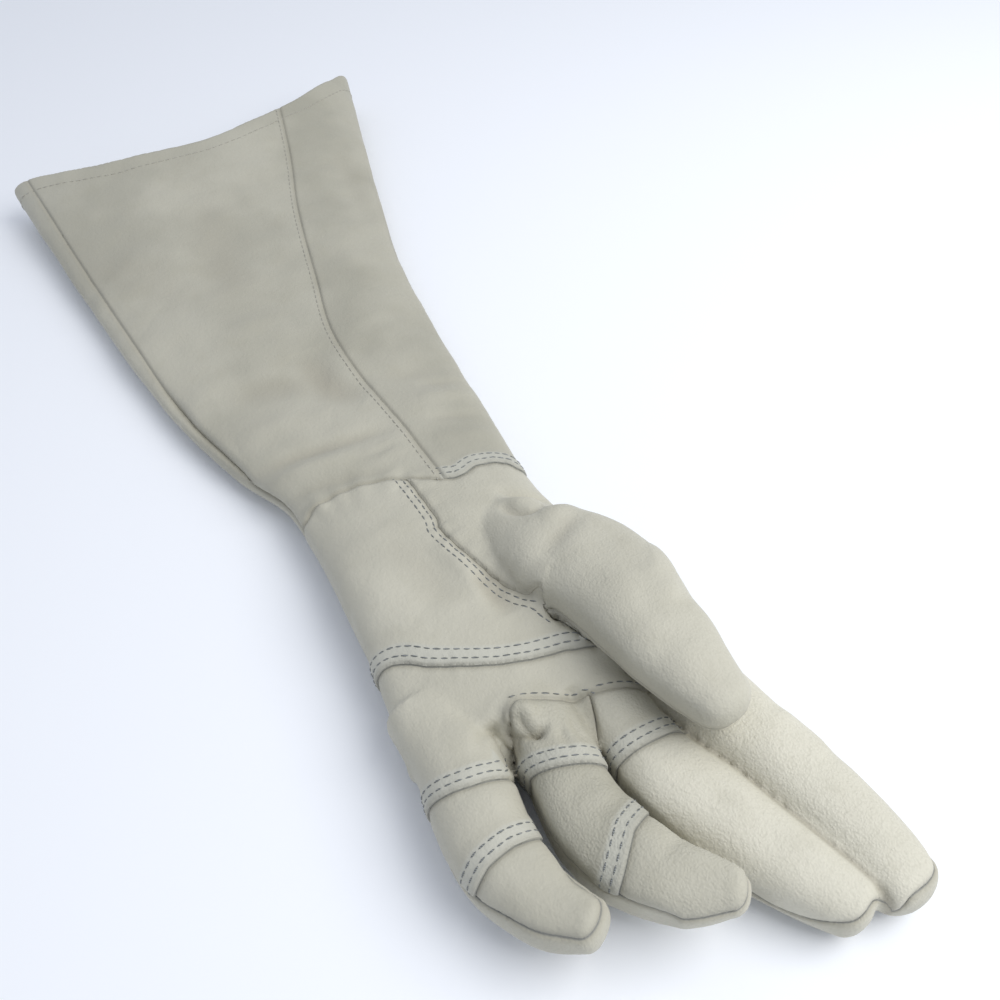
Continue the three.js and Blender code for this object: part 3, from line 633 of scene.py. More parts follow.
def clip(part, field, level=0.0):
    """The share of a triangle mesh where one of its fields is over a level, cut clean along it."""
    f = part[field] - level if isinstance(field, str) else field
    f = np.where(np.abs(f) < NEAR_ZERO, NEAR_ZERO, f)
    tri = part["tri"]
    above = f > 0
    count = above[tri].sum(1)

    def turned(rows, wanted):
        k = np.argmax(above[rows] == wanted, axis=1)
        return np.stack([rows[np.arange(len(rows)), (k + s) % 3] for s in range(3)], 1)

    one = turned(tri[count == 1], True)
    two = turned(tri[count == 2], False)
    cut = np.concatenate([one[:, [0, 1]], one[:, [0, 2]], two[:, [0, 1]], two[:, [0, 2]]])
    edges, where = np.unique(np.sort(cut, 1), axis=0, return_inverse=True)
    where = where.reshape(-1) + len(f)
    a, b = edges[:, 0], edges[:, 1]
    share = (f[a] / (f[a] - f[b])) if len(edges) else np.zeros(0)
    n1, n2 = len(one), len(two)
    p, q = where[:n1], where[n1 : 2 * n1]
    r, s = where[2 * n1 : 2 * n1 + n2], where[2 * n1 + n2 :]
    faces = np.concatenate(
        [
            tri[count == 3],
            np.stack([one[:, 0], p, q], 1),
            np.stack([r, two[:, 1], two[:, 2]], 1),
            np.stack([r, two[:, 2], s], 1),
        ]
    )
    used, packed = np.unique(faces, return_inverse=True)
    out = dict(tri=packed.reshape(-1, 3))
    for key, values in part.items():
        if key == "tri":
            continue
        t = share.reshape((-1,) + (1,) * (values.ndim - 1))
        out[key] = np.concatenate([values, values[a] + (values[b] - values[a]) * t])[used]
    return out


def level_line(part, field, level):
    """The line on a part where a field has a value: points, their normals and edges."""
    f = part[field] - level
    f = np.where(np.abs(f) < NEAR_ZERO, NEAR_ZERO, f)
    tri = part["tri"]
    above = f > 0
    crossed = tri[(above[tri].sum(1) % 3) != 0]
    pairs = np.stack([crossed[:, [0, 1]], crossed[:, [1, 2]], crossed[:, [2, 0]]], 1)
    cut = above[pairs[..., 0]] != above[pairs[..., 1]]
    ends = np.sort(pairs[cut].reshape(-1, 2), 1)
    edges, where = np.unique(ends, axis=0, return_inverse=True)
    a, b = edges[:, 0], edges[:, 1]
    t = (f[a] / (f[a] - f[b]))[:, None]
    co = part["co"][a] + (part["co"][b] - part["co"][a]) * t
    normal = part["normal"][a] + (part["normal"][b] - part["normal"][a]) * t
    return co, normal, where.reshape(-1, 2)


# How the edge of a panel is finished, as a lift along the surface in mm at a distance from the seam
def edge_over(d):
    """The panel that laps over: lifted by the layer under it, with its cut edge rounded off."""
    rounded = np.clip(1 - d / 0.8, 0, 1)
    return 0.5 * ramp(d, 9.0, 5.0) - 0.35 * (1 - np.sqrt(1 - rounded**2))


def edge_under(d):
    """The panel that runs on under its neighbour: pressed down a little beside it."""
    return -0.35 * (1 - smooth(d / 3.0))


def turned_in(depth, reach):
    """An inside seam, at which both panels turn in."""
    return lambda d: -depth * np.clip(1 - d / reach, 0, 1) ** 2


edge_plain = turned_in(0.7, 1.9)
# Pressed flat, as along the cuff
edge_flat = turned_in(0.4, 1.5)
# Gaping, where the panels roll apart
edge_deep = turned_in(2.2, 3.4)


def edge_hem(d):
    """The folded hem."""
    rounded = np.clip(1 - d / 1.5, 0, 1)
    return -1.1 * (1 - np.sqrt(1 - rounded**2))


def finish_edge(part, distance, kind, ink, other=None, share=1.0):
    """Adds one seam's finish to a panel's lift, and the distances that its material draws."""
    lift = kind(distance)
    if other is not None:
        lift = share * lift + (1 - share) * other(distance)
    part["lift"] = part["lift"] + lift
    part["seam"] = np.minimum(part["seam"], distance)
    if kind is edge_over:
        part["lap"] = np.minimum(part["lap"], distance + LAP_FADE * (2 - share - ink))
    # The painted shade in the seam's crevice, held back from the rim of a panel that laps over
    hidden = LAP_SEAM_SHADE if kind is edge_over else 0.0
    part["ink"] = np.minimum(part["ink"], distance + hidden + SEAM_SHADE_FADE * (1 - ink))


def split(part, name, inner, outer, ink=1.0, other=None, share=None):
    """Cuts a part in two where a field is zero. inner: how the side is finished on which it is positive."""
    sides = []
    for sign, kind in ((1, inner), (-1, outer)):
        side = clip(part, part[name] * sign)
        weight = 1.0 if share is None else share(side)
        strength = ink(side) if callable(ink) else ink
        finish_edge(side, np.abs(side[name]), kind, strength, other, weight)
        sides.append(side)
    return sides


# How far before its free part the thumb is already told from the palm, in rows of its table
BED_START = 0.35


def thumb_field(co):
    """How far inside the free thumb a point lies, in mm, roughly."""
    last = len(THUMB["rows"]) - 1
    us = np.linspace(0, last, 160)
    sec = sections(THUMB, THUMB_HEIGHT, us)
    nearest = np.zeros(len(co), int)
    closest = np.full(len(co), 1e9)
    for k in range(len(us)):
        d = np.linalg.norm(co - sec["centre"][k], axis=1)
        near = d < closest
        closest[near] = d[near]
        nearest[near] = k
    offset = co - sec["centre"][nearest]
    a = np.einsum("ij,ij->i", offset, sec["side"][nearest]) / sec["half"][nearest]
    b = np.einsum("ij,ij->i", offset, sec["up"][nearest]) / sec["tall"][nearest]
    c = np.einsum("ij,ij->i", offset, sec["ahead"][nearest])
    dome = THUMB["tip"] * THUMB["length"]
    c = np.where(nearest == len(us) - 1, np.maximum(c, 0) / dome, 0)
    p = DIGIT_SQUARENESS
    r = (np.abs(a) ** p + np.abs(b) ** p + np.abs(c) ** p) ** (1 / p)
    length = np.linalg.norm(offset, axis=1)
    depth = (1 / np.maximum(r, 1e-3) - 1) * length
    return np.where(us[nearest] > THUMB["free"] - BED_START, depth, -NONE_NEAR)


# How much lower the seam round the hand runs between the middle and index fingers, and how far that reaches
VALLEY_DEPTH = 5.0
VALLEY_REACH = 3.0


def seam_height(co):
    """The height of the seam round the edge of the hand, and along the fingers."""
    height = np.full(len(co), SIDE_SEAM_HEIGHT)
    for name, digit in FINGERS.items():
        strip = inside(co[:, :2], lane(name, False)) > 0
        last = len(digit["rows"]) - 1
        us = np.linspace(0, last, 200)
        sec = sections(digit, FINGER_HEIGHT, us)
        points = co[strip][:, None, :2] - sec["centre"][None, :, :2]
        nearest = np.argmin((points**2).sum(-1), 1)
        seam = sec["seam"][nearest]
        offset = co[strip][:, :2] - sec["centre"][nearest][:, :2]
        past = np.einsum("ij,ij->i", offset, sec["ahead"][nearest][:, :2])
        slope = (sec["seam"][-1] - sec["seam"][-20]) / np.linalg.norm(
            sec["centre"][-1] - sec["centre"][-20]
        )
        seam = seam + np.where(nearest == len(us) - 1, np.maximum(past, 0) * slope, 0)
        height[strip] = seam
    # The valley between the two fingers that lie close stays with the front
    valley = to_segments(co[:, :2], FORK_PATHS[2])[0]
    return height - VALLEY_DEPTH * np.exp(-((valley / VALLEY_REACH) ** 2))


def cuff_under(co):
    """How far inside the back panel's space a point lies: under the cuff and round its left edge."""
    along = [s[0] * CUFF_LENGTH if s[0] > 0 else s[0] * PALM_LENGTH for s in CUFF_SIDE_SEAMS]
    left = [on_body((s[0], s[1]))[0] for s in CUFF_SIDE_SEAMS]
    right = [on_body((s[0], s[2]))[0] for s in CUFF_SIDE_SEAMS]
    u = [row_at(BODY, "y", y) for y in along]
    middle = [float(column(BODY, "height", v)) / 2 for v in u]
    y = co[:, 1]
    order = np.argsort(along)
    at = [np.interp(y, np.array(along)[order], np.array(v)[order]) for v in (left, right, middle)]
    return np.maximum(at[0] - co[:, 0], np.minimum(at[1] - co[:, 0], at[2] - co[:, 2]))


def hem_outline():
    """The plan of everything inside the hem's edge."""
    first = BODY[0]
    c = np.linspace(-1, 1, 61)
    x = first["x"] + c * first["half"]
    y = first["y"] + first["bow"] * c * c + first["slant"] * x
    path = list(zip(x.tolist(), y.tolist()))
    return [(-FAR, path[0][1])] + path + [(FAR, path[-1][1]), (FAR, -FAR), (-FAR, -FAR)]


# The height from which and to which the slots between the fingers are cut
SLOT_BOTTOM = -20.0
SLOT_TOP = 90.0


def gap_prism(path, thickness):
    """An upright wall along a plan path, for the gap between two fingers."""
    p = np.array(path, float)
    along = np.gradient(p, axis=0)
    along /= np.linalg.norm(along, axis=1)[:, None]
    out = np.stack([-along[:, 1], along[:, 0]], 1) * thickness / 2
    rings = []
    for q, o in zip(p, out):
        corners = [(q + o, SLOT_BOTTOM), (q + o, SLOT_TOP), (q - o, SLOT_TOP), (q - o, SLOT_BOTTOM)]
        rings.append([[*at, z] for at, z in corners])
    return loft(np.array(rings))


# What is cut out of each tube, so that the fingers part and the thumb lies over its bed
CUTS = {
    "body": ["bed"],
    "pinky": ["pinky_ring"],
    "ring": ["pinky_ring", "ring_middle"],
    "middle": ["ring_middle", "bed"],
    "index": ["bed"],
    "thumb": [],
}
# How far back from the thumb's free part its bed starts
BED_LEAD = 1.4


def even_skin(cell):
    """The body, the fingers and the thumb, cut where they touch and joined in one even mesh."""
    cutters = {"bed": loft(digit_rings(THUMB, THUMB_HEIGHT, THUMB_GAP, THUMB["free"], BED_LEAD))}
    for path, (name, width) in zip(FORK_PATHS, SLOT_WIDTHS.items()):
        cutters[name] = gap_prism(path[:-1] + [(path[-1][0], SLOT_END)], width)
    cutters = {name: scratch_object(name, *shape) for name, shape in cutters.items()}
    tubes = {name: digit_rings(digit, FINGER_HEIGHT) for name, digit in FINGERS.items()}
    tubes = {"body": body_rings(PAST_HEM), **tubes, "thumb": digit_rings(THUMB, THUMB_HEIGHT)}
    meshes = []
    for tube, rings in tubes.items():
        obj = scratch_object(tube, *loft(rings))
        for name in CUTS[tube]:
            cut = obj.modifiers.new(name, "BOOLEAN")
            cut.operation = "DIFFERENCE"
            cut.solver = "MANIFOLD"
            cut.object = cutters[name]
        mesh = modified(obj)
        if len(mesh.vertices) == 0:
            raise RuntimeError(tube + " came out empty")
        meshes.append(arrays(mesh))
        bpy.data.meshes.remove(mesh)
        drop(obj)
    for obj in cutters.values():
        drop(obj)
    offsets = np.cumsum([0] + [len(m[0]) for m in meshes])
    tri = np.concatenate([m[1] + o for m, o in zip(meshes, offsets)])
    whole = scratch_object("skin", np.concatenate([m[0] for m in meshes]), tri.tolist())
    even = whole.modifiers.new("even", "REMESH")
    even.mode = "VOXEL"
    even.voxel_size = cell * MM
    even.adaptivity = 0.0
    mesh = modified(whole)
    drop(whole)
    co, tri = arrays(mesh)
    bpy.data.meshes.remove(mesh)
    if len(tri) == 0:
        raise RuntimeError("the skin came out empty")
    return co, tri


# How bluntly a fold ends, and how deep it is where it is creased in full
FOLD_TAPER = 0.6
CREASED = 3.0
# Over how many mm puckers fade at their limits, and how strongly and how often their waves drift
PUCKER_FADE = 4.0
PUCKER_DRIFT = (0.8, 23.0)


def fold_skin(xy, on_thumb):
    """How far the folds and puckers lift each plan point, and how strong a crease each point lies in."""
    lift = np.zeros(len(xy))
    crease = np.zeros(len(xy))
    for place_of, share in (("hand", 1 - on_thumb), ("thumb", 1.0)):
        for path, wide, height in FOLDS[place_of]:
            d, where = to_segments(xy, curved(path))
            ends = np.sin(np.pi * np.clip(where, 0.02, 0.98)) ** FOLD_TAPER
            shape = np.exp(-((d / wide) ** 2)) * ends * share
            lift += height * shape
            crease = np.maximum(crease, shape * np.clip(-height / CREASED, 0, 1))
    paths = dict(wrist=WRIST_SEAM, band=PALM_BAND, thumb=THUMB_SEAM)
    for pucker in PUCKERS:
        path = curved([on_body(p) for p in paths[pucker["seam"]]])
        length = np.linalg.norm(np.diff(np.array(path), axis=0), axis=1).sum()
        d, where = to_segments(xy, path)
        drift = PUCKER_DRIFT[0] * np.sin(where * PUCKER_DRIFT[1])
        wave = np.sin(2 * np.pi * where * length / pucker["waves"] + drift)
        low, high = pucker["x"]
        within = ramp(xy[:, 0], low, low + PUCKER_FADE) * ramp(xy[:, 0], high, high - PUCKER_FADE)
        within = within * (1 - on_thumb)
        lift += pucker["height"] * wave * np.exp(-((d / pucker["reach"]) ** 2)) * within
    return lift, crease


# Rounds of smoothing, everywhere and then only off the forks
ROUNDS = 6
ROUNDS_OFF_FORKS = 14
# The leather's slow waves: lengths in mm and heights, and their share below and what is added to it on top
SLOW_WAVES = ((30.0, 1.0), (11.0, 0.45))
SLOW_SHARE = 0.4
SLOW_ON_TOP = 0.7
# How dark the painted shade along a fork is, and how far it reaches in mm
FORK_SHADE = 0.8
FORK_REACH = 1.1


def make_skin(cell, fold_share):
    """The outside of the whole glove as one even mesh, with its folds."""
    co, tri = even_skin(cell)
    co = relax(co, tri, ROUNDS)
    fork = np.min([to_segments(co[:, :2], path[:-1])[0] for path in FORK_PATHS], axis=0)
    co = relax(co, tri, ROUNDS_OFF_FORKS, ramp(fork, 3.0, 6.0))
    normal = normals(co, tri)
    top = ramp(normal[:, 2], 0.1, 0.6)
    on_thumb = smooth((thumb_field(co) + THUMB_GAP / 2) / 0.6)
    lift, crease = fold_skin(co[:, :2], on_thumb)
    lift *= top * fold_share
    slow = [sum(high * noise.noise(Vector(p) / long) for long, high in SLOW_WAVES) for p in co]
    lift += np.array(slow) * (SLOW_SHARE + SLOW_ON_TOP * top)
    co = co + normal * (lift * ramp(co[:, 2], 0.5, 4.5))[:, None]
    # Painted shade between the fingers along each fork, carried in the crease attribute
    shade = FORK_SHADE * np.exp(-((fork / FORK_REACH) ** 2)) * (1 - on_thumb) * ramp(co[:, 2], 3.0, 8.0)
    co[:, 2] = np.maximum(co[:, 2], 0.0)
    part = dict(tri=tri, co=co, normal=normals(co, tri), crease=np.maximum(crease, shade))
    part["lift"] = np.zeros(len(co))
    for key in ("seam", "ink", "lap"):
        part[key] = np.full(len(co), NONE_NEAR)
    return part


def main_piece(part):
    """A part without the crumbs that a cut leaves away from it."""
    label = np.arange(len(part["co"]))
    tri = part["tri"]
    while True:
        before = label.copy()
        least = label[tri].min(1)
        for k in range(3):
            np.minimum.at(label, tri[:, k], least)
        label = label[label]
        if np.array_equal(label, before):
            break
    names, counts = np.unique(label[tri[:, 0]], return_counts=True)
    kept = names[counts > CRUMB * counts.max()]
    part["tri"] = tri[np.isin(label[tri[:, 0]], kept)]
    return part


# How steep the field of the free thumb is, so that it decides over the plan there, and up to what value
THUMB_STEEP = 8.0
THUMB_LIMIT = 20.0


def add_fields(part):
    """Gives each point its distance from every seam, positive on one side of it."""
    co, xy = part["co"], part["co"][:, :2]
    wrist = curved([on_body(p) for p in WRIST_SEAM])
    beyond = [(FAR, wrist[-1][1]), (FAR, FAR + 100), (-FAR, FAR + 100)]
    part["wrist"] = inside(xy, [(-FAR, wrist[0][1])] + wrist + beyond)
    part["side"] = cuff_under(co)
    top_seam = curved([on_body(p) for p in CUFF_TOP_SEAM])
    part["top"] = inside(xy, top_seam + [(-FAR, top_seam[-1][1]), (-FAR, top_seam[0][1])])
    part["edge"] = seam_height(co) - co[:, 2]
    thumb_path = curved([on_body(p) for p in THUMB_SEAM])
    sec = sections(THUMB, THUMB_HEIGHT, THUMB["free"])
    left = sec["centre"][0] - sec["side"][0] * sec["half"][0]
    right = sec["centre"][0] + sec["side"][0] * sec["half"][0]
    plan = thumb_path + [tuple(left[:2]), tuple(right[:2]), (FAR, right[1]), (FAR, thumb_path[0][1])]
    free = THUMB_STEEP * (THUMB_GAP / 2 + thumb_field(co))
    part["thumb"] = np.maximum(inside(xy, plan), np.clip(free, -THUMB_LIMIT, THUMB_LIMIT))
    sec = sections(THUMB, THUMB_HEIGHT, np.linspace(0, len(THUMB["rows"]) - 1, 80))
    under = np.interp(-co[:, 1], -sec["centre"][:, 1], sec["seam"])
    part["underside"] = np.minimum(under - co[:, 2], right[1] - co[:, 1])
    band = curved([on_body(p) for p in PALM_BAND])
    part["band"] = inside(xy, band + [(FAR, FAR), (-FAR, FAR)])
    for name, digit in FINGERS.items():
        part[name] = inside(xy, lane(name, True))
        for k, points in enumerate(digit["bands"]):
            part[f"{name}_band{k}"] = inside(xy, past_band(digit, points))


# Where the finish of a seam changes along it, as a share at each point
def thumb_side(p):
    """The thumb's side of the wrist seam, which is lapped."""
    return ramp(p["co"][:, 0], 2.0, 10.0) * ramp(p["co"][:, 2], 8.0, 14.0)


def low_side(p):
    """The part of the cuff's left seam that is near the wrist, which gapes."""
    return ramp(p["co"][:, 1], 125.0, 85.0) * (p["co"][:, 0] < 0)


def finger_ends(p):
    """The part of the seam round the hand that lies along the fingers, where it shows."""
    return ramp(p["co"][:, 1], -112.0, -124.0)


def pinky_outside(p):
    """The part of the little finger's seam that isn't in the fork."""
    return ramp(p["co"][:, 0], -28.0, -31.0)


def on_hand(p):
    """The thumb's seam is half lapped where it is on top of the hand."""
    return 0.5 * (p["co"][:, 2] > 15)


def before_fork(name):
    """The part of the seam at a finger's base that isn't in the fork."""
    start = max(f[3] for f in FORKS if name in f[:2]) * -PALM_LENGTH
    return lambda p: ramp(p["co"][:, 1], start - 4.0, start)


def cut_panels(part):
    """Cuts the skin into the glove's panels, in the order in which they lie on one another."""
    part["hem"] = inside(part["co"][:, :2], hem_outline())
    part = clip(part, "hem")
    finish_edge(part, part["hem"], edge_hem, 0.0)
    part["seam"] = np.full(len(part["co"]), NONE_NEAR)
    add_fields(part)
    panels = {}
    cuff, hand = split(part, "wrist", edge_over, edge_under, 0.0, edge_plain, thumb_side)
    for side in (cuff, hand):
        # Painted shade along the wrist seam, darkest on the thumb's side
        side["ink"] = np.abs(side["wrist"]) + WRIST_SEAM_SHADE + SEAM_SHADE_FADE * (1 - thumb_side(side))
    cuff["lap"] = np.abs(cuff["wrist"]) + LAP_FADE * (1 - thumb_side(cuff))
    panels["cuff_back_panel"], cuff = split(
        cuff, "side", edge_deep, edge_deep, lambda p: 0.1 + 0.65 * low_side(p), edge_flat, low_side
    )
    panels["cuff_palm_panel"], panels["cuff_thumb_panel"] = split(cuff, "top", edge_flat, edge_flat, 0.3)
    panels["hand_back"], top = split(hand, "edge", edge_plain, edge_plain, finger_ends)
    thumb, top = split(top, "thumb", edge_over, edge_under, 0.6, edge_plain, on_hand)
    panels["thumb_back"], panels["thumb_front"] = split(thumb, "underside", edge_plain, edge_plain, 0.0)
    panels["palm_panel"], top = split(top, "band", edge_over, edge_under)
    for name, digit in FINGERS.items():
        finish = (edge_under, edge_over, pinky_outside) if name == "pinky" else (edge_plain, edge_plain, 0.0)
        front, top = split(top, name, *finish, edge_plain, before_fork(name))
        for k in range(len(digit["bands"])):
            front, panels[digit["patches"][k]] = split(front, f"{name}_band{k}", edge_under, edge_over)
        panels[digit["patches"][-1]] = front
    panels["palm_patch"] = clip(top, top["co"][:, 1] - PATCH_END)
    for name, panel in panels.items():
        main_piece(panel)
        valley = to_segments(panel["co"][:, :2], FORK_PATHS[2])[0]
        lift = panel["lift"] * ramp(panel["co"][:, 2], 0.2, 2.2)
        if not name.startswith("thumb"):
            lift = lift * ramp(valley, 0.4, 3.4)
        panel["co"] = panel["co"] + panel["normal"] * lift[:, None]
        panel["co"][:, 2] = np.maximum(panel["co"][:, 2], 0.0)
    return panels


_made = {}


def shared(name, make, *given):
    """A thing made once and shared by the operators."""
    if name not in _made:
        _made[name] = make(*given)
    return _made[name]


def panels_of(settings):
    """The panels' surfaces, cut once."""
    return shared("panels", lambda: cut_panels(make_skin(settings.cell / MM, settings.folds)))


def welded(part):
    """A part without the slivers that the cuts leave."""
    mesh = new_mesh("weld", part["co"], [], part["tri"].tolist())
    fields = {key: values for key, values in part.items() if key not in ("tri", "co")}
    for key, values in fields.items():
        write_attribute(mesh, "skin_" + key, values)
    bm = bmesh.new()
    bm.from_mesh(mesh)
    bmesh.ops.remove_doubles(bm, verts=bm.verts, dist=SLIVER * MM)
    bm.to_mesh(mesh)
    bm.free()
    out = {key: read_attribute(mesh, "skin_" + key, values) for key, values in fields.items()}
    out["co"], out["tri"] = arrays(mesh)
    bpy.data.meshes.remove(mesh)
    return out


# Over how many mm on each side the turned-in hem ends, and how low the leather is where it lies on the table
HEM_STEP = 0.4
LYING = 1.0


def make_panel(name, part, settings, hide, materials):
    """A panel of leather with its thickness, as an object in the place of its CAD node."""
    part = welded(part)
    thickness = settings.leather / MM
    # Twice as thick as far as the hem is turned in, and never through the table
    fold = ramp(part["hem"], HEM_FOLD + HEM_STEP, HEM_FOLD - HEM_STEP)
    inner = part["co"] - part["normal"] * (thickness * (1 + fold))[:, None]
    inner[:, 2] = np.maximum(inner[:, 2], min(thickness, LYING) * (part["co"][:, 2] < LYING))
    tri = part["tri"]
    count = len(part["co"])
    edges = np.concatenate([tri[:, [0, 1]], tri[:, [1, 2]], tri[:, [2, 0]]])
    seen = set(map(tuple, edges.tolist()))
    rim = [e for e in seen if (e[1], e[0]) not in seen]
    faces = tri.tolist() + (tri[:, ::-1] + count).tolist()
    faces += [[b, a, a + count, b + count] for a, b in rim]
    mesh = new_mesh(name, np.concatenate([part["co"], inner]), [], faces)
    for key, attribute in (("seam", "seam_mm"), ("ink", "ink_mm"), ("lap", "lap_mm"), ("crease", "crease")):
        write_attribute(mesh, attribute, np.concatenate([part[key], part[key]]))
    for key, value in hide.items():
        write_attribute(mesh, key, np.full(2 * count, value))
    mesh.validate()
    for material in materials:
        mesh.materials.append(material)
    index = np.zeros(len(mesh.polygons), np.int32)
    index[len(tri) : 2 * len(tri)] = 1
    mesh.polygons.foreach_set("material_index", index)
    mesh.polygons.foreach_set("use_smooth", np.ones(len(mesh.polygons), bool))
    mesh.set_sharp_from_angle(angle=math.radians(SHARP))
    mesh.update()
    return new_object(name, mesh)


# Materials
def add_node(tree, kind, inputs=None, **settings):
    """Adds a node. inputs: a socket's name or number to a value, a node's socket or a node's first output."""
    node = tree.nodes.new(kind)
    for key, value in settings.items():
        setattr(node, key, value)
    for key, value in (inputs or {}).items():
        if isinstance(value, bpy.types.Node):
            value = value.outputs[0]
        if isinstance(value, bpy.types.NodeSocket):
            tree.links.new(value, node.inputs[key])
        else:
            node.inputs[key].default_value = value
    return node


def new_material(name):
    """A material, what adds nodes to it, and the place on the object."""
    material = bpy.data.materials.new(name)
    material.use_nodes = True
    material.node_tree.nodes.clear()
    add = partial(add_node, material.node_tree)
    return material, add, add("ShaderNodeTexCoord").outputs["Object"]


# Kinds of nodes, and settings of them, that are used most
NOISE = "ShaderNodeTexNoise"
MATH = "ShaderNodeMath"
MIX = "ShaderNodeMix"
RANGE = "ShaderNodeMapRange"
BUMP = "ShaderNodeBump"
SHADER = "ShaderNodeBsdfPrincipled"
OUTPUT = "ShaderNodeOutputMaterial"
FADE = dict(interpolation_type="SMOOTHSTEP")
COLOUR = dict(data_type="RGBA")
TIMES = dict(operation="MULTIPLY")
TIMES_PLUS = dict(operation="MULTIPLY_ADD")


def grain_leather(settings):
    """Full-grain goatskin, tanned pale and softly finished: matt, pebbled where it is stretched least."""
    material, add, where = new_material("full_grain_goatskin_pearl")
    broad = add(NOISE, {"Vector": where, "Scale": 22.0, "Detail": 3.0})
    blotch = add(NOISE, {"Vector": where, "Scale": 95.0, "Detail": 4.0})
    # Pebbles of the grain, 0.6 mm across
    warp = add(NOISE, {"Vector": where, "Scale": 420.0, "Detail": 2.0}).outputs[1]
    bent = add("ShaderNodeVectorMath", {0: warp, "Scale": 0.0007}, operation="SCALE")
    moved = add("ShaderNodeVectorMath", {0: where, 1: bent}, operation="ADD")
    pebble = add("ShaderNodeTexVoronoi", {"Vector": moved, "Scale": 1600.0}, feature="SMOOTH_F1")
    pores = add(NOISE, {"Vector": where, "Scale": 1500.0, "Detail": 2.0})
    # Fine wrinkles 1 to 2 mm apart
    wrinkle = add(NOISE, {"Vector": moved, "Scale": 520.0, "Detail": 4.0, "Roughness": 0.6})
    grain, seam, ink, lap, crease, panel = (
        add("ShaderNodeAttribute", attribute_name=name).outputs["Fac"]
        for name in ("grain", "seam_mm", "ink_mm", "lap_mm", "crease", "tone")
    )
    # The hide's two tones
    share = add(RANGE, {0: broad, 1: 0.35, 2: 0.65, 3: -0.12, 4: 0.12}, **FADE)
    share = add(MATH, {0: share, 1: panel}, operation="ADD", use_clamp=True)
    tone = add(MIX, {0: share, 6: settings.hide, 7: settings.hide_pale}, **COLOUR).outputs[2]
    # Over them: a field, the values between which the share of a colour goes from one number to another
    pitted = add(MATH, {0: grain, 1: 0.18}, **TIMES)
    for field, start, end, before, after, colour in (
        (blotch, 0.5, 0.75, 0.0, 0.18, linear("#a9a592")),  # darker blotches
        (pebble, 0.35, 0.75, 0.0, pitted, linear("#98947f")),  # pits between the pebbles
        (lap, 5.2, 6.4, 0.4, 0.0, settings.rubbed),  # the doubled leather of the bands
        # Brownish darkening on the crease mask: real staining in the deep dents, and painted shade in the
        # other creases and along the forks
        (crease, 0.1, 1.0, 0.0, 0.45, settings.stain_and_crease_shade),
        # Painted shade along the sunken seams
        (seam, 0.3, 2.2, 0.3, 0.0, linear("#8b8676")),
        # Painted shade: a thin dark line in the crevice of each seam
        (ink, 0.1, 0.5, 0.6, 0.0, settings.edge),
    ):
        share = add(RANGE, {0: field, 1: start, 2: end, 3: before, 4: after}, **FADE)
        tone = add(MIX, {0: share, 6: tone, 7: colour}, **COLOUR).outputs[2]
    # The relief: pebbles, wrinkles, pores and the pull of the seams
    depth = add(MATH, {0: grain, 1: -0.26}, **TIMES)
    height = add(MATH, {0: pebble, 1: depth}, **TIMES)
    height = add(MATH, {0: wrinkle, 1: 0.28, 2: height}, **TIMES_PLUS)
    height = add(MATH, {0: pores, 1: 0.05, 2: height}, **TIMES_PLUS)
    sunk = add(RANGE, {0: seam, 1: 0.0, 2: 1.1, 3: -0.25, 4: 0.0}, **FADE)
    height = add(MATH, {0: height, 1: sunk}, operation="ADD")
    bump = add(BUMP, {"Height": height, "Strength": 0.8, "Distance": 0.0011})
    rough = add(RANGE, {0: blotch, 1: 0.3, 2: 0.7, 3: 0.58, 4: 0.72}, **FADE)
    look = {"Base Color": tone, "Roughness": rough, "Normal": bump}
    look.update({"IOR": 1.48, "Sheen Weight": 0.08, "Sheen Roughness": 0.5})
    add(OUTPUT, {"Surface": add(SHADER, look)})
    return material


def flesh_leather(settings):
    """The flesh side of the same hide: a short napped suede, duller and warmer."""
    material, add, where = new_material("goatskin_flesh_side_suede")
    nap = add(NOISE, {"Vector": where, "Scale": 1300.0, "Detail": 4.0})
    patch = add(NOISE, {"Vector": where, "Scale": 60.0, "Detail": 3.0})
    share = add(RANGE, {0: patch, 1: 0.35, 2: 0.7, 3: 0.0, 4: 1.0}, **FADE)
    tone = add(MIX, {0: share, 6: settings.flesh, 7: linear("#b2a994")}, **COLOUR).outputs[2]
    share = add(RANGE, {0: nap, 1: 0.4, 2: 0.7, 3: 0.0, 4: 0.4}, **FADE)
    tone = add(MIX, {0: share, 6: tone, 7: linear("#aca28c")}, **COLOUR).outputs[2]
    bump = add(BUMP, {"Height": nap, "Strength": 0.6, "Distance": 0.0004})
    look = {"Base Color": tone, "Normal": bump, "Roughness": 0.92, "Sheen Weight": 0.3}
    add(OUTPUT, {"Surface": add(SHADER, look)})
    return material


def thread_material(name, colour):
    """Bonded polyester sewing thread, three plies twisted at about 0.5 mm."""
    material, add, where = new_material(name)
    twist = {"Vector": where, "Scale": 650.0, "Distortion": 1.5}
    ply = add("ShaderNodeTexWave", twist, bands_direction="DIAGONAL").outputs[1]
    share = add(MATH, {0: ply, 1: 0.3}, **TIMES)
    tone = add(MIX, {0: share, 6: colour, 7: linear("#d8dade")}, **COLOUR).outputs[2]
    bump = add(BUMP, {"Height": ply, "Strength": 0.4, "Distance": 0.0001})
    add(OUTPUT, {"Surface": add(SHADER, {"Base Color": tone, "Normal": bump, "Roughness": 0.55})})
    return material


def place(obj, node=None):
    """Tells the frame which body a piece rides on, and hides the CAD node that it stands for."""
    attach(obj, "root")
    if node:
        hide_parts(node)


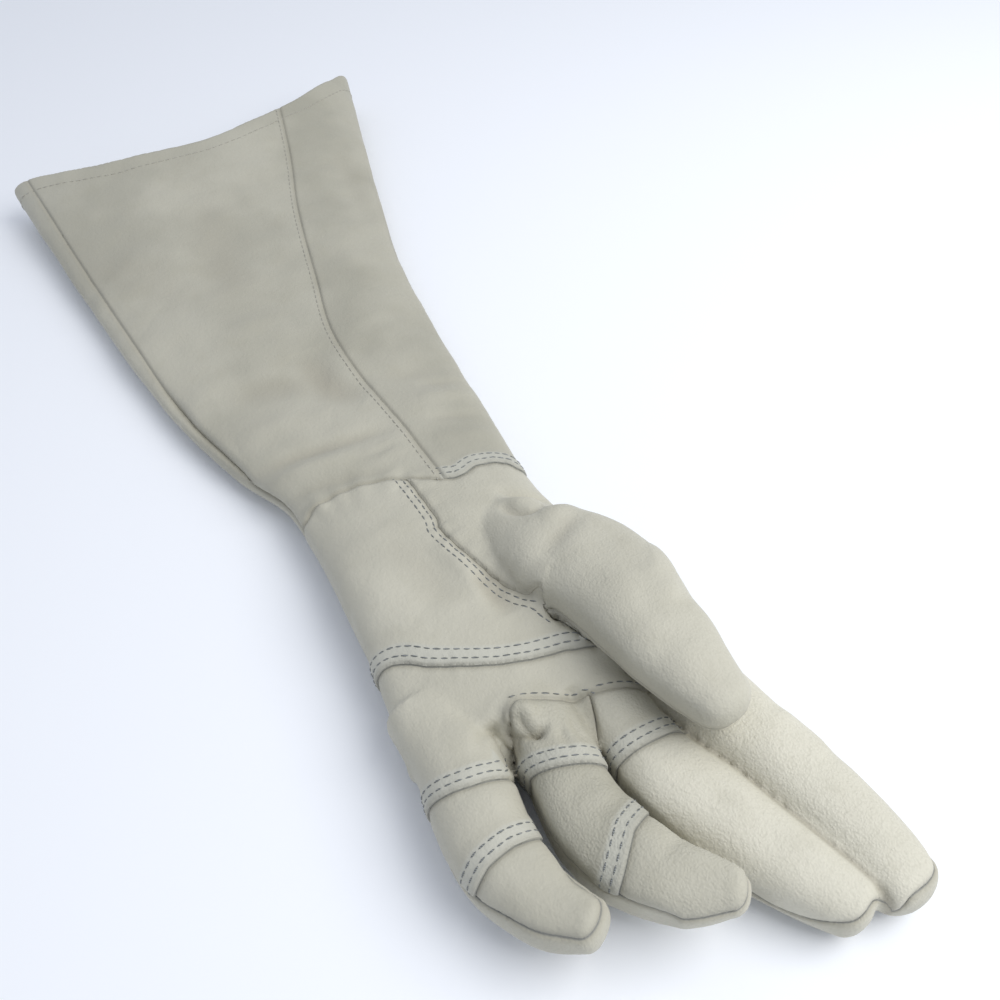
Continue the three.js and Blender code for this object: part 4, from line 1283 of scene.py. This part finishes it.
# Each panel comes from its own part of the hide: its tone, from 0 for the darkest to 1 for the palest, and
# its grain, from 0 for smooth to 1 for plainly pebbled
HIDE = {
    "cuff_palm_panel": dict(tone=0.34, grain=0.22),
    "cuff_thumb_panel": dict(tone=0.2, grain=0.25),
    "cuff_back_panel": dict(tone=0.4, grain=0.3),
    "hand_back": dict(tone=0.55, grain=0.6),
    "palm_panel": dict(tone=0.58, grain=0.22),
    "palm_patch": dict(tone=0.58, grain=0.35),
    "thumb_front": dict(tone=0.44, grain=0.55),
    "thumb_back": dict(tone=0.5, grain=0.6),
    "pinky_mid_patch": dict(tone=0.56, grain=0.4),
    "pinky_tip_patch": dict(tone=0.46, grain=0.3),
    "ring_base_patch": dict(tone=0.38, grain=0.8),
    "ring_mid_patch": dict(tone=0.16, grain=1.0),
    "ring_tip_patch": dict(tone=0.34, grain=0.7),
    "middle_base_patch": dict(tone=0.5, grain=0.6),
    "middle_tip_patch": dict(tone=0.8, grain=0.65),
    "index_front": dict(tone=0.92, grain=0.8),
}


def build_panels(context, names):
    """Panels of leather, each in the place of its CAD node."""
    settings = context.scene.glove_leather
    leathers = [shared("grain", grain_leather, settings), shared("flesh", flesh_leather, settings)]
    for name in names:
        part = panels_of(settings)[name]
        place(make_panel(name + "_leather", part, settings, HIDE[name], leathers), name)


# Rows of stitches: the panel they go through, the seam they follow, the distances from it in mm
# and, where only a stretch is sewn, the plan range in x
HEM_STITCHES = [
    dict(panel="cuff_palm_panel", seam="hem", away=[HEM_FOLD]),
    dict(panel="cuff_thumb_panel", seam="hem", away=[HEM_FOLD]),
    dict(panel="cuff_back_panel", seam="hem", away=[HEM_FOLD]),
    dict(panel="cuff_palm_panel", seam="top", away=[1.9]),
]
WRIST_STITCHES = [
    dict(panel="cuff_thumb_panel", seam="wrist", away=[2.4, 5.0], x=(2.0, 60.0)),
]
HAND_STITCHES = [
    dict(panel="palm_panel", seam="band", away=[2.2, 4.9]),
    dict(panel="palm_panel", seam="thumb", away=[-1.5, -3.7], x=(-20.0, 4.0)),
    dict(panel="palm_patch", seam="pinky", away=[-2.2], x=(-60.0, -27.5)),
    dict(panel="palm_patch", seam="pinky", away=[-4.6], x=(-60.0, -31.4)),
    dict(panel="pinky_mid_patch", seam="pinky_band0", away=[-2.2, -4.8]),
    dict(panel="ring_base_patch", seam="ring_band0", away=[-2.2, -4.8]),
    dict(panel="ring_mid_patch", seam="ring_band1", away=[-2.2, -4.8]),
    dict(panel="middle_base_patch", seam="middle_band0", away=[-2.2, -4.8]),
    dict(panel="palm_patch", seam="ring", away=[-1.6], x=(-18.0, 3.0)),
    dict(panel="palm_patch", seam="middle", away=[-1.6], x=(5.0, 20.0)),
]


def stitch_lines(name, rows, panels):
    """The rows of stitches as lines of edges on the panels, with the way up at each point."""
    points, ups, edges, start = [], [], [], 0
    for item in rows:
        part = panels[item["panel"]]
        part = clip(part, part["co"][:, 2] - LOWEST_STITCH)
        if "x" in item:
            low, high = item["x"]
            x = part["co"][:, 0]
            part = clip(part, np.minimum(x - low, high - x))
        for away in item["away"]:
            co, up, links = level_line(part, item["seam"], away)
            points.append(co)
            ups.append(up)
            edges.append(links + start)
            start += len(co)
    mesh = new_mesh(name, np.concatenate(points), np.concatenate(edges).tolist(), [])
    write_attribute(mesh, "up", np.concatenate(ups))
    return new_object(name, mesh)


def stitch_tree():
    """Sets one stitch after another along lines of edges, each turned to the leather under it."""
    tree = bpy.data.node_groups.new("stitches", "GeometryNodeTree")
    socket = tree.interface.new_socket
    socket("Geometry", in_out="INPUT", socket_type="NodeSocketGeometry")
    for name, value in (("Pitch", 0.0028), ("Length", 0.0021), ("Diameter", 0.0006), ("Unevenness", UNEVEN)):
        socket(name, in_out="INPUT", socket_type="NodeSocketFloat").default_value = value
    socket("Seed", in_out="INPUT", socket_type="NodeSocketInt").default_value = 3
    socket("Material", in_out="INPUT", socket_type="NodeSocketMaterial")
    socket("Geometry", in_out="OUTPUT", socket_type="NodeSocketGeometry")
    add = partial(add_node, tree)
    given = add("NodeGroupInput").outputs
    curve = add("GeometryNodeMeshToCurve", {"Mesh": given["Geometry"]})
    spaced = add("GeometryNodeResampleCurve", {"Curve": curve, "Length": given["Pitch"]}, mode="LENGTH")
    along = add("GeometryNodeInputTangent")
    up = add("GeometryNodeInputNamedAttribute", {"Name": "up"}, data_type="FLOAT_VECTOR")
    align = "FunctionNodeAlignRotationToVector"
    turn = add(align, {"Vector": along}, axis="X")
    turn = add(align, {"Rotation": turn, "Vector": up}, axis="Z", pivot_axis="X")
    low = add(MATH, {0: 1.0, 1: given["Unevenness"]}, operation="SUBTRACT")
    high = add(MATH, {0: 1.0, 1: given["Unevenness"]}, operation="ADD")
    size = {2: low, 3: high, "Seed": given["Seed"]}
    size = add("FunctionNodeRandomValue", size, data_type="FLOAT").outputs[1]
    half = add(MATH, {0: given["Length"], 1: 0.5}, **TIMES)
    radius = add(MATH, {0: given["Diameter"], 1: 0.5}, **TIMES)
    ball = add("GeometryNodeMeshUVSphere", {"Segments": 10, "Rings": 6, "Radius": 1.0})
    form = add("ShaderNodeCombineXYZ", {0: half, 1: radius, 2: radius})
    stitch = add("GeometryNodeTransform", {"Geometry": ball, "Scale": form})
    stitches = {"Points": spaced, "Instance": stitch, "Rotation": turn, "Scale": size}
    real = add("GeometryNodeRealizeInstances", {"Geometry": add("GeometryNodeInstanceOnPoints", stitches)})
    dressed = add("GeometryNodeSetMaterial", {"Geometry": real, "Material": given["Material"]})
    add("NodeGroupOutput", {"Geometry": add("GeometryNodeSetShadeSmooth", {"Geometry": dressed})})
    return tree


def build_stitches(context, name, rows, pitch, thread):
    """Sews rows of stitches as one piece."""
    settings = context.scene.glove_thread
    obj = stitch_lines(name, rows, panels_of(context.scene.glove_leather))
    tree = shared("stitch_tree", stitch_tree)
    modifier = obj.modifiers.new("stitches", "NODES")
    modifier.node_group = tree
    values = {
        "Pitch": pitch,
        "Length": pitch * settings.fill,
        "Diameter": settings.diameter,
        "Unevenness": UNEVEN,
        "Seed": settings.seed,
        "Material": thread,
    }
    for socket in tree.interface.items_tree:
        if socket.in_out == "INPUT" and socket.name in values:
            modifier[socket.identifier] = values[socket.name]
    mesh = modified(obj)
    obj.modifiers.clear()
    old = obj.data
    obj.data = mesh
    bpy.data.meshes.remove(old)
    if len(mesh.vertices) == 0:
        raise RuntimeError(name + " came out empty")
    place(obj, None)


# How far the floor lies under the glove, in mm
FLOOR = -0.3
# Each light's place in metres, its power as a share of the key light's, and its size
LIGHTS = {"key": ((0.42, -0.4, 0.7), 1.0, 0.7), "fill": ((0.1, 0.9, 1.1), 0.16, 1.0)}
LIGHTS_AIM = (0.0, 0.02, 0.0)
# The camera, where the photo was taken from: 266 mm above the floor, a little rolled
CAMERA_AT = (-0.089, -0.210, 0.26624)
CAMERA_AHEAD = (0.33202, 0.57508, -0.74770)
CAMERA_ACROSS = (0.86603, -0.5, 0.0)
CAMERA_UP = (0.37385, 0.64752, 0.66404)
CAMERA_ROLL = 2.856
CAMERA_LENS = 35.25


def build_stage(context):
    """The floor, the light from all around, the lights and the camera."""
    settings = context.scene.glove_stage
    material, add, where = new_material("matt_paper_sweep_white")
    fibre = add(NOISE, {"Vector": where, "Scale": 900.0, "Detail": 2.0})
    bump = add(BUMP, {"Height": fibre, "Strength": 0.05, "Distance": 0.0002})
    add(OUTPUT, {"Surface": add(SHADER, {"Base Color": settings.paper, "Normal": bump, "Roughness": 0.9})})
    x = settings.floor / MM
    corners = [(-x, -x, FLOOR), (x, -x, FLOOR), (x, x, FLOOR), (-x, x, FLOOR)]
    mesh = new_mesh("floor", corners, [], [(0, 1, 2, 3)])
    mesh.materials.append(material)
    new_object("floor", mesh)

    world = bpy.data.worlds.new("studio")
    world.use_nodes = True
    background = world.node_tree.nodes["Background"]
    background.inputs["Color"].default_value = linear("#e8eefb")
    background.inputs["Strength"].default_value = settings.ambient
    context.scene.world = world
    context.scene.view_settings.view_transform = "Standard"

    for name, (at, share, size) in LIGHTS.items():
        light = bpy.data.lights.new(name, "AREA")
        light.energy = settings.key * share
        light.size = size
        aim = (Vector(LIGHTS_AIM) - Vector(at)).to_track_quat("-Z", "Y")
        new_object(name, light).matrix_world = Matrix.Translation(at) @ aim.to_matrix().to_4x4()

    roll = math.radians(CAMERA_ROLL)
    across, upward = Vector(CAMERA_ACROSS), Vector(CAMERA_UP)
    right = across * math.cos(roll) - upward * math.sin(roll)
    top = across * math.sin(roll) + upward * math.cos(roll)
    camera = bpy.data.cameras.new("camera")
    camera.lens = CAMERA_LENS
    camera.sensor_width = 36.0
    camera.clip_start = 0.01
    obj = new_object("camera", camera)
    turn = Matrix((right, top, -Vector(CAMERA_AHEAD))).transposed().to_4x4()
    obj.matrix_world = Matrix.Translation(CAMERA_AT) @ turn
    context.scene.camera = obj


# The add-on
def length(name, description, default, **limits):
    """A property that is a size."""
    given = dict(name=name, description=description, default=default, **limits)
    return bpy.props.FloatProperty(unit="LENGTH", precision=4, **given)


def colour(name, description, default):
    """A property that is a colour, given in hex."""
    given = dict(name=name, description=description, default=linear(default))
    return bpy.props.FloatVectorProperty(size=4, subtype="COLOR", **given)


class GloveLeatherSettings(bpy.types.PropertyGroup):
    leather: length("Leather", "One thickness of hide", 0.0014, min=0.0005)
    cell: length("Cell", "Size of the skin's faces", 0.001, min=0.0006)
    folds: bpy.props.FloatProperty(
        name="Folds",
        description="Strength of the folds and dents",
        default=1.0,
        min=0.0,
        max=2.0,
        subtype="FACTOR",
    )
    hide: colour("Hide", "Main colour of the grain side", "#a09d8d")
    hide_pale: colour("Pale hide", "Colour of its paler areas", "#d0ccbb")
    rubbed: colour("Rubbed bands", "Colour of the doubled bands", "#c0c1b8")
    # Painted shade in the creases and between the fingers, and the real stain in the deep dents
    stain_and_crease_shade: colour("Stain", "Colour worn into the creases", "#8f8775")
    # The colour of the painted shade in the crevices of the seams
    edge: colour("Cut edge", "Colour of the cut edges", "#666a6c")
    flesh: colour("Flesh side", "Colour of the inner side", "#bfb8a6")


class GloveThreadSettings(bpy.types.PropertyGroup):
    hem_pitch: length("Hem pitch", "From one stitch to the next in the hem", 0.0033)
    pitch: length("Pitch", "From one stitch to the next elsewhere", 0.0029)
    fill: bpy.props.FloatProperty(
        name="Fill", description="Share of the pitch that a stitch takes up", default=0.78, min=0.2, max=1.0
    )
    diameter: length("Diameter", "Thickness of the thread", 0.0005)
    seed: bpy.props.IntProperty(name="Seed", description="Seed of the stitches' unevenness", default=3)
    grey: colour("Grey thread", "Thread of the hand's seams", "#565953")
    ecru: colour("Ecru thread", "Thread of the cuff", "#96917f")


class GloveStageSettings(bpy.types.PropertyGroup):
    floor: length("Floor", "Half the floor's width", 4.0)
    key: bpy.props.FloatProperty(
        name="Key light", description="Power of the main light", default=6.4, unit="POWER"
    )
    ambient: bpy.props.FloatProperty(
        name="Ambient", description="Strength of the light from all around", default=0.62
    )
    paper: colour("Paper", "Colour of the floor", "#f4f6f9")


class GLOVE_OT_cuff(bpy.types.Operator):
    """Makes the three panels of the cuff"""

    bl_idname = "glove.cuff"
    bl_label = "Cuff panels"

    def execute(self, context):
        build_panels(context, ["cuff_palm_panel", "cuff_thumb_panel", "cuff_back_panel"])
        return {"FINISHED"}


class GLOVE_OT_hand(bpy.types.Operator):
    """Makes the panels of the palm and the back of the hand"""

    bl_idname = "glove.hand"
    bl_label = "Hand panels"

    def execute(self, context):
        build_panels(context, ["palm_panel", "palm_patch", "hand_back"])
        return {"FINISHED"}


class GLOVE_OT_thumb(bpy.types.Operator):
    """Makes the two pieces of the thumb"""

    bl_idname = "glove.thumb"
    bl_label = "Thumb"

    def execute(self, context):
        build_panels(context, ["thumb_front", "thumb_back"])
        return {"FINISHED"}


class GLOVE_OT_fingers(bpy.types.Operator):
    """Makes the patches on the fronts of the fingers"""

    bl_idname = "glove.fingers"
    bl_label = "Finger patches"

    def execute(self, context):
        build_panels(context, [name for digit in FINGERS.values() for name in digit["patches"]])
        return {"FINISHED"}


class GLOVE_OT_hem_stitches(bpy.types.Operator):
    """Sews the cuff's hem and its top seam"""

    bl_idname = "glove.hem_stitches"
    bl_label = "Hem stitching"

    def execute(self, context):
        settings = context.scene.glove_thread
        thread = shared("ecru", thread_material, "bonded_polyester_thread_ecru", settings.ecru)
        build_stitches(context, "hem_stitching", HEM_STITCHES, settings.hem_pitch, thread)
        return {"FINISHED"}


class GLOVE_OT_wrist_stitches(bpy.types.Operator):
    """Sews the wrist"""

    bl_idname = "glove.wrist_stitches"
    bl_label = "Wrist stitching"

    def execute(self, context):
        settings = context.scene.glove_thread
        thread = shared("grey", thread_material, "bonded_polyester_thread_grey", settings.grey)
        build_stitches(context, "wrist_stitching", WRIST_STITCHES, settings.pitch, thread)
        return {"FINISHED"}


class GLOVE_OT_hand_stitches(bpy.types.Operator):
    """Sews the bands across the palm and the fingers"""

    bl_idname = "glove.hand_stitches"
    bl_label = "Hand stitching"

    def execute(self, context):
        settings = context.scene.glove_thread
        thread = shared("grey", thread_material, "bonded_polyester_thread_grey", settings.grey)
        build_stitches(context, "hand_stitching", HAND_STITCHES, settings.pitch, thread)
        return {"FINISHED"}


class GLOVE_OT_stage(bpy.types.Operator):
    """Sets up the floor, the lights and the camera"""

    bl_idname = "glove.stage"
    bl_label = "Stage"

    def execute(self, context):
        build_stage(context)
        return {"FINISHED"}


OPERATORS = [
    GLOVE_OT_cuff,
    GLOVE_OT_hand,
    GLOVE_OT_thumb,
    GLOVE_OT_fingers,
    GLOVE_OT_hem_stitches,
    GLOVE_OT_wrist_stitches,
    GLOVE_OT_hand_stitches,
    GLOVE_OT_stage,
]


class GLOVE_PT_panel(bpy.types.Panel):
    """Lists the glove's settings and the operators that build it"""

    bl_idname = "GLOVE_PT_panel"
    bl_label = "Glove"
    bl_space_type = "VIEW_3D"
    bl_region_type = "UI"
    bl_category = "Glove"

    def draw(self, context):
        scene = context.scene
        for settings in (scene.glove_leather, scene.glove_thread, scene.glove_stage):
            for key in settings.bl_rna.properties.keys():
                if key not in ("rna_type", "name"):
                    self.layout.prop(settings, key)
        for operator in OPERATORS:
            self.layout.operator(operator.bl_idname)


GROUPS = {
    "glove_leather": GloveLeatherSettings,
    "glove_thread": GloveThreadSettings,
    "glove_stage": GloveStageSettings,
}


def register():
    for cls in [*GROUPS.values(), *OPERATORS, GLOVE_PT_panel]:
        bpy.utils.register_class(cls)
    for key, cls in GROUPS.items():
        setattr(bpy.types.Scene, key, bpy.props.PointerProperty(type=cls))


def unregister():
    for key in GROUPS:
        delattr(bpy.types.Scene, key)
    for cls in reversed([*GROUPS.values(), *OPERATORS, GLOVE_PT_panel]):
        bpy.utils.unregister_class(cls)


def main():
    register()
    for operator in OPERATORS:
        group, name = operator.bl_idname.split(".")
        getattr(getattr(bpy.ops, group), name)()


if __name__ == "__main__":
    main()
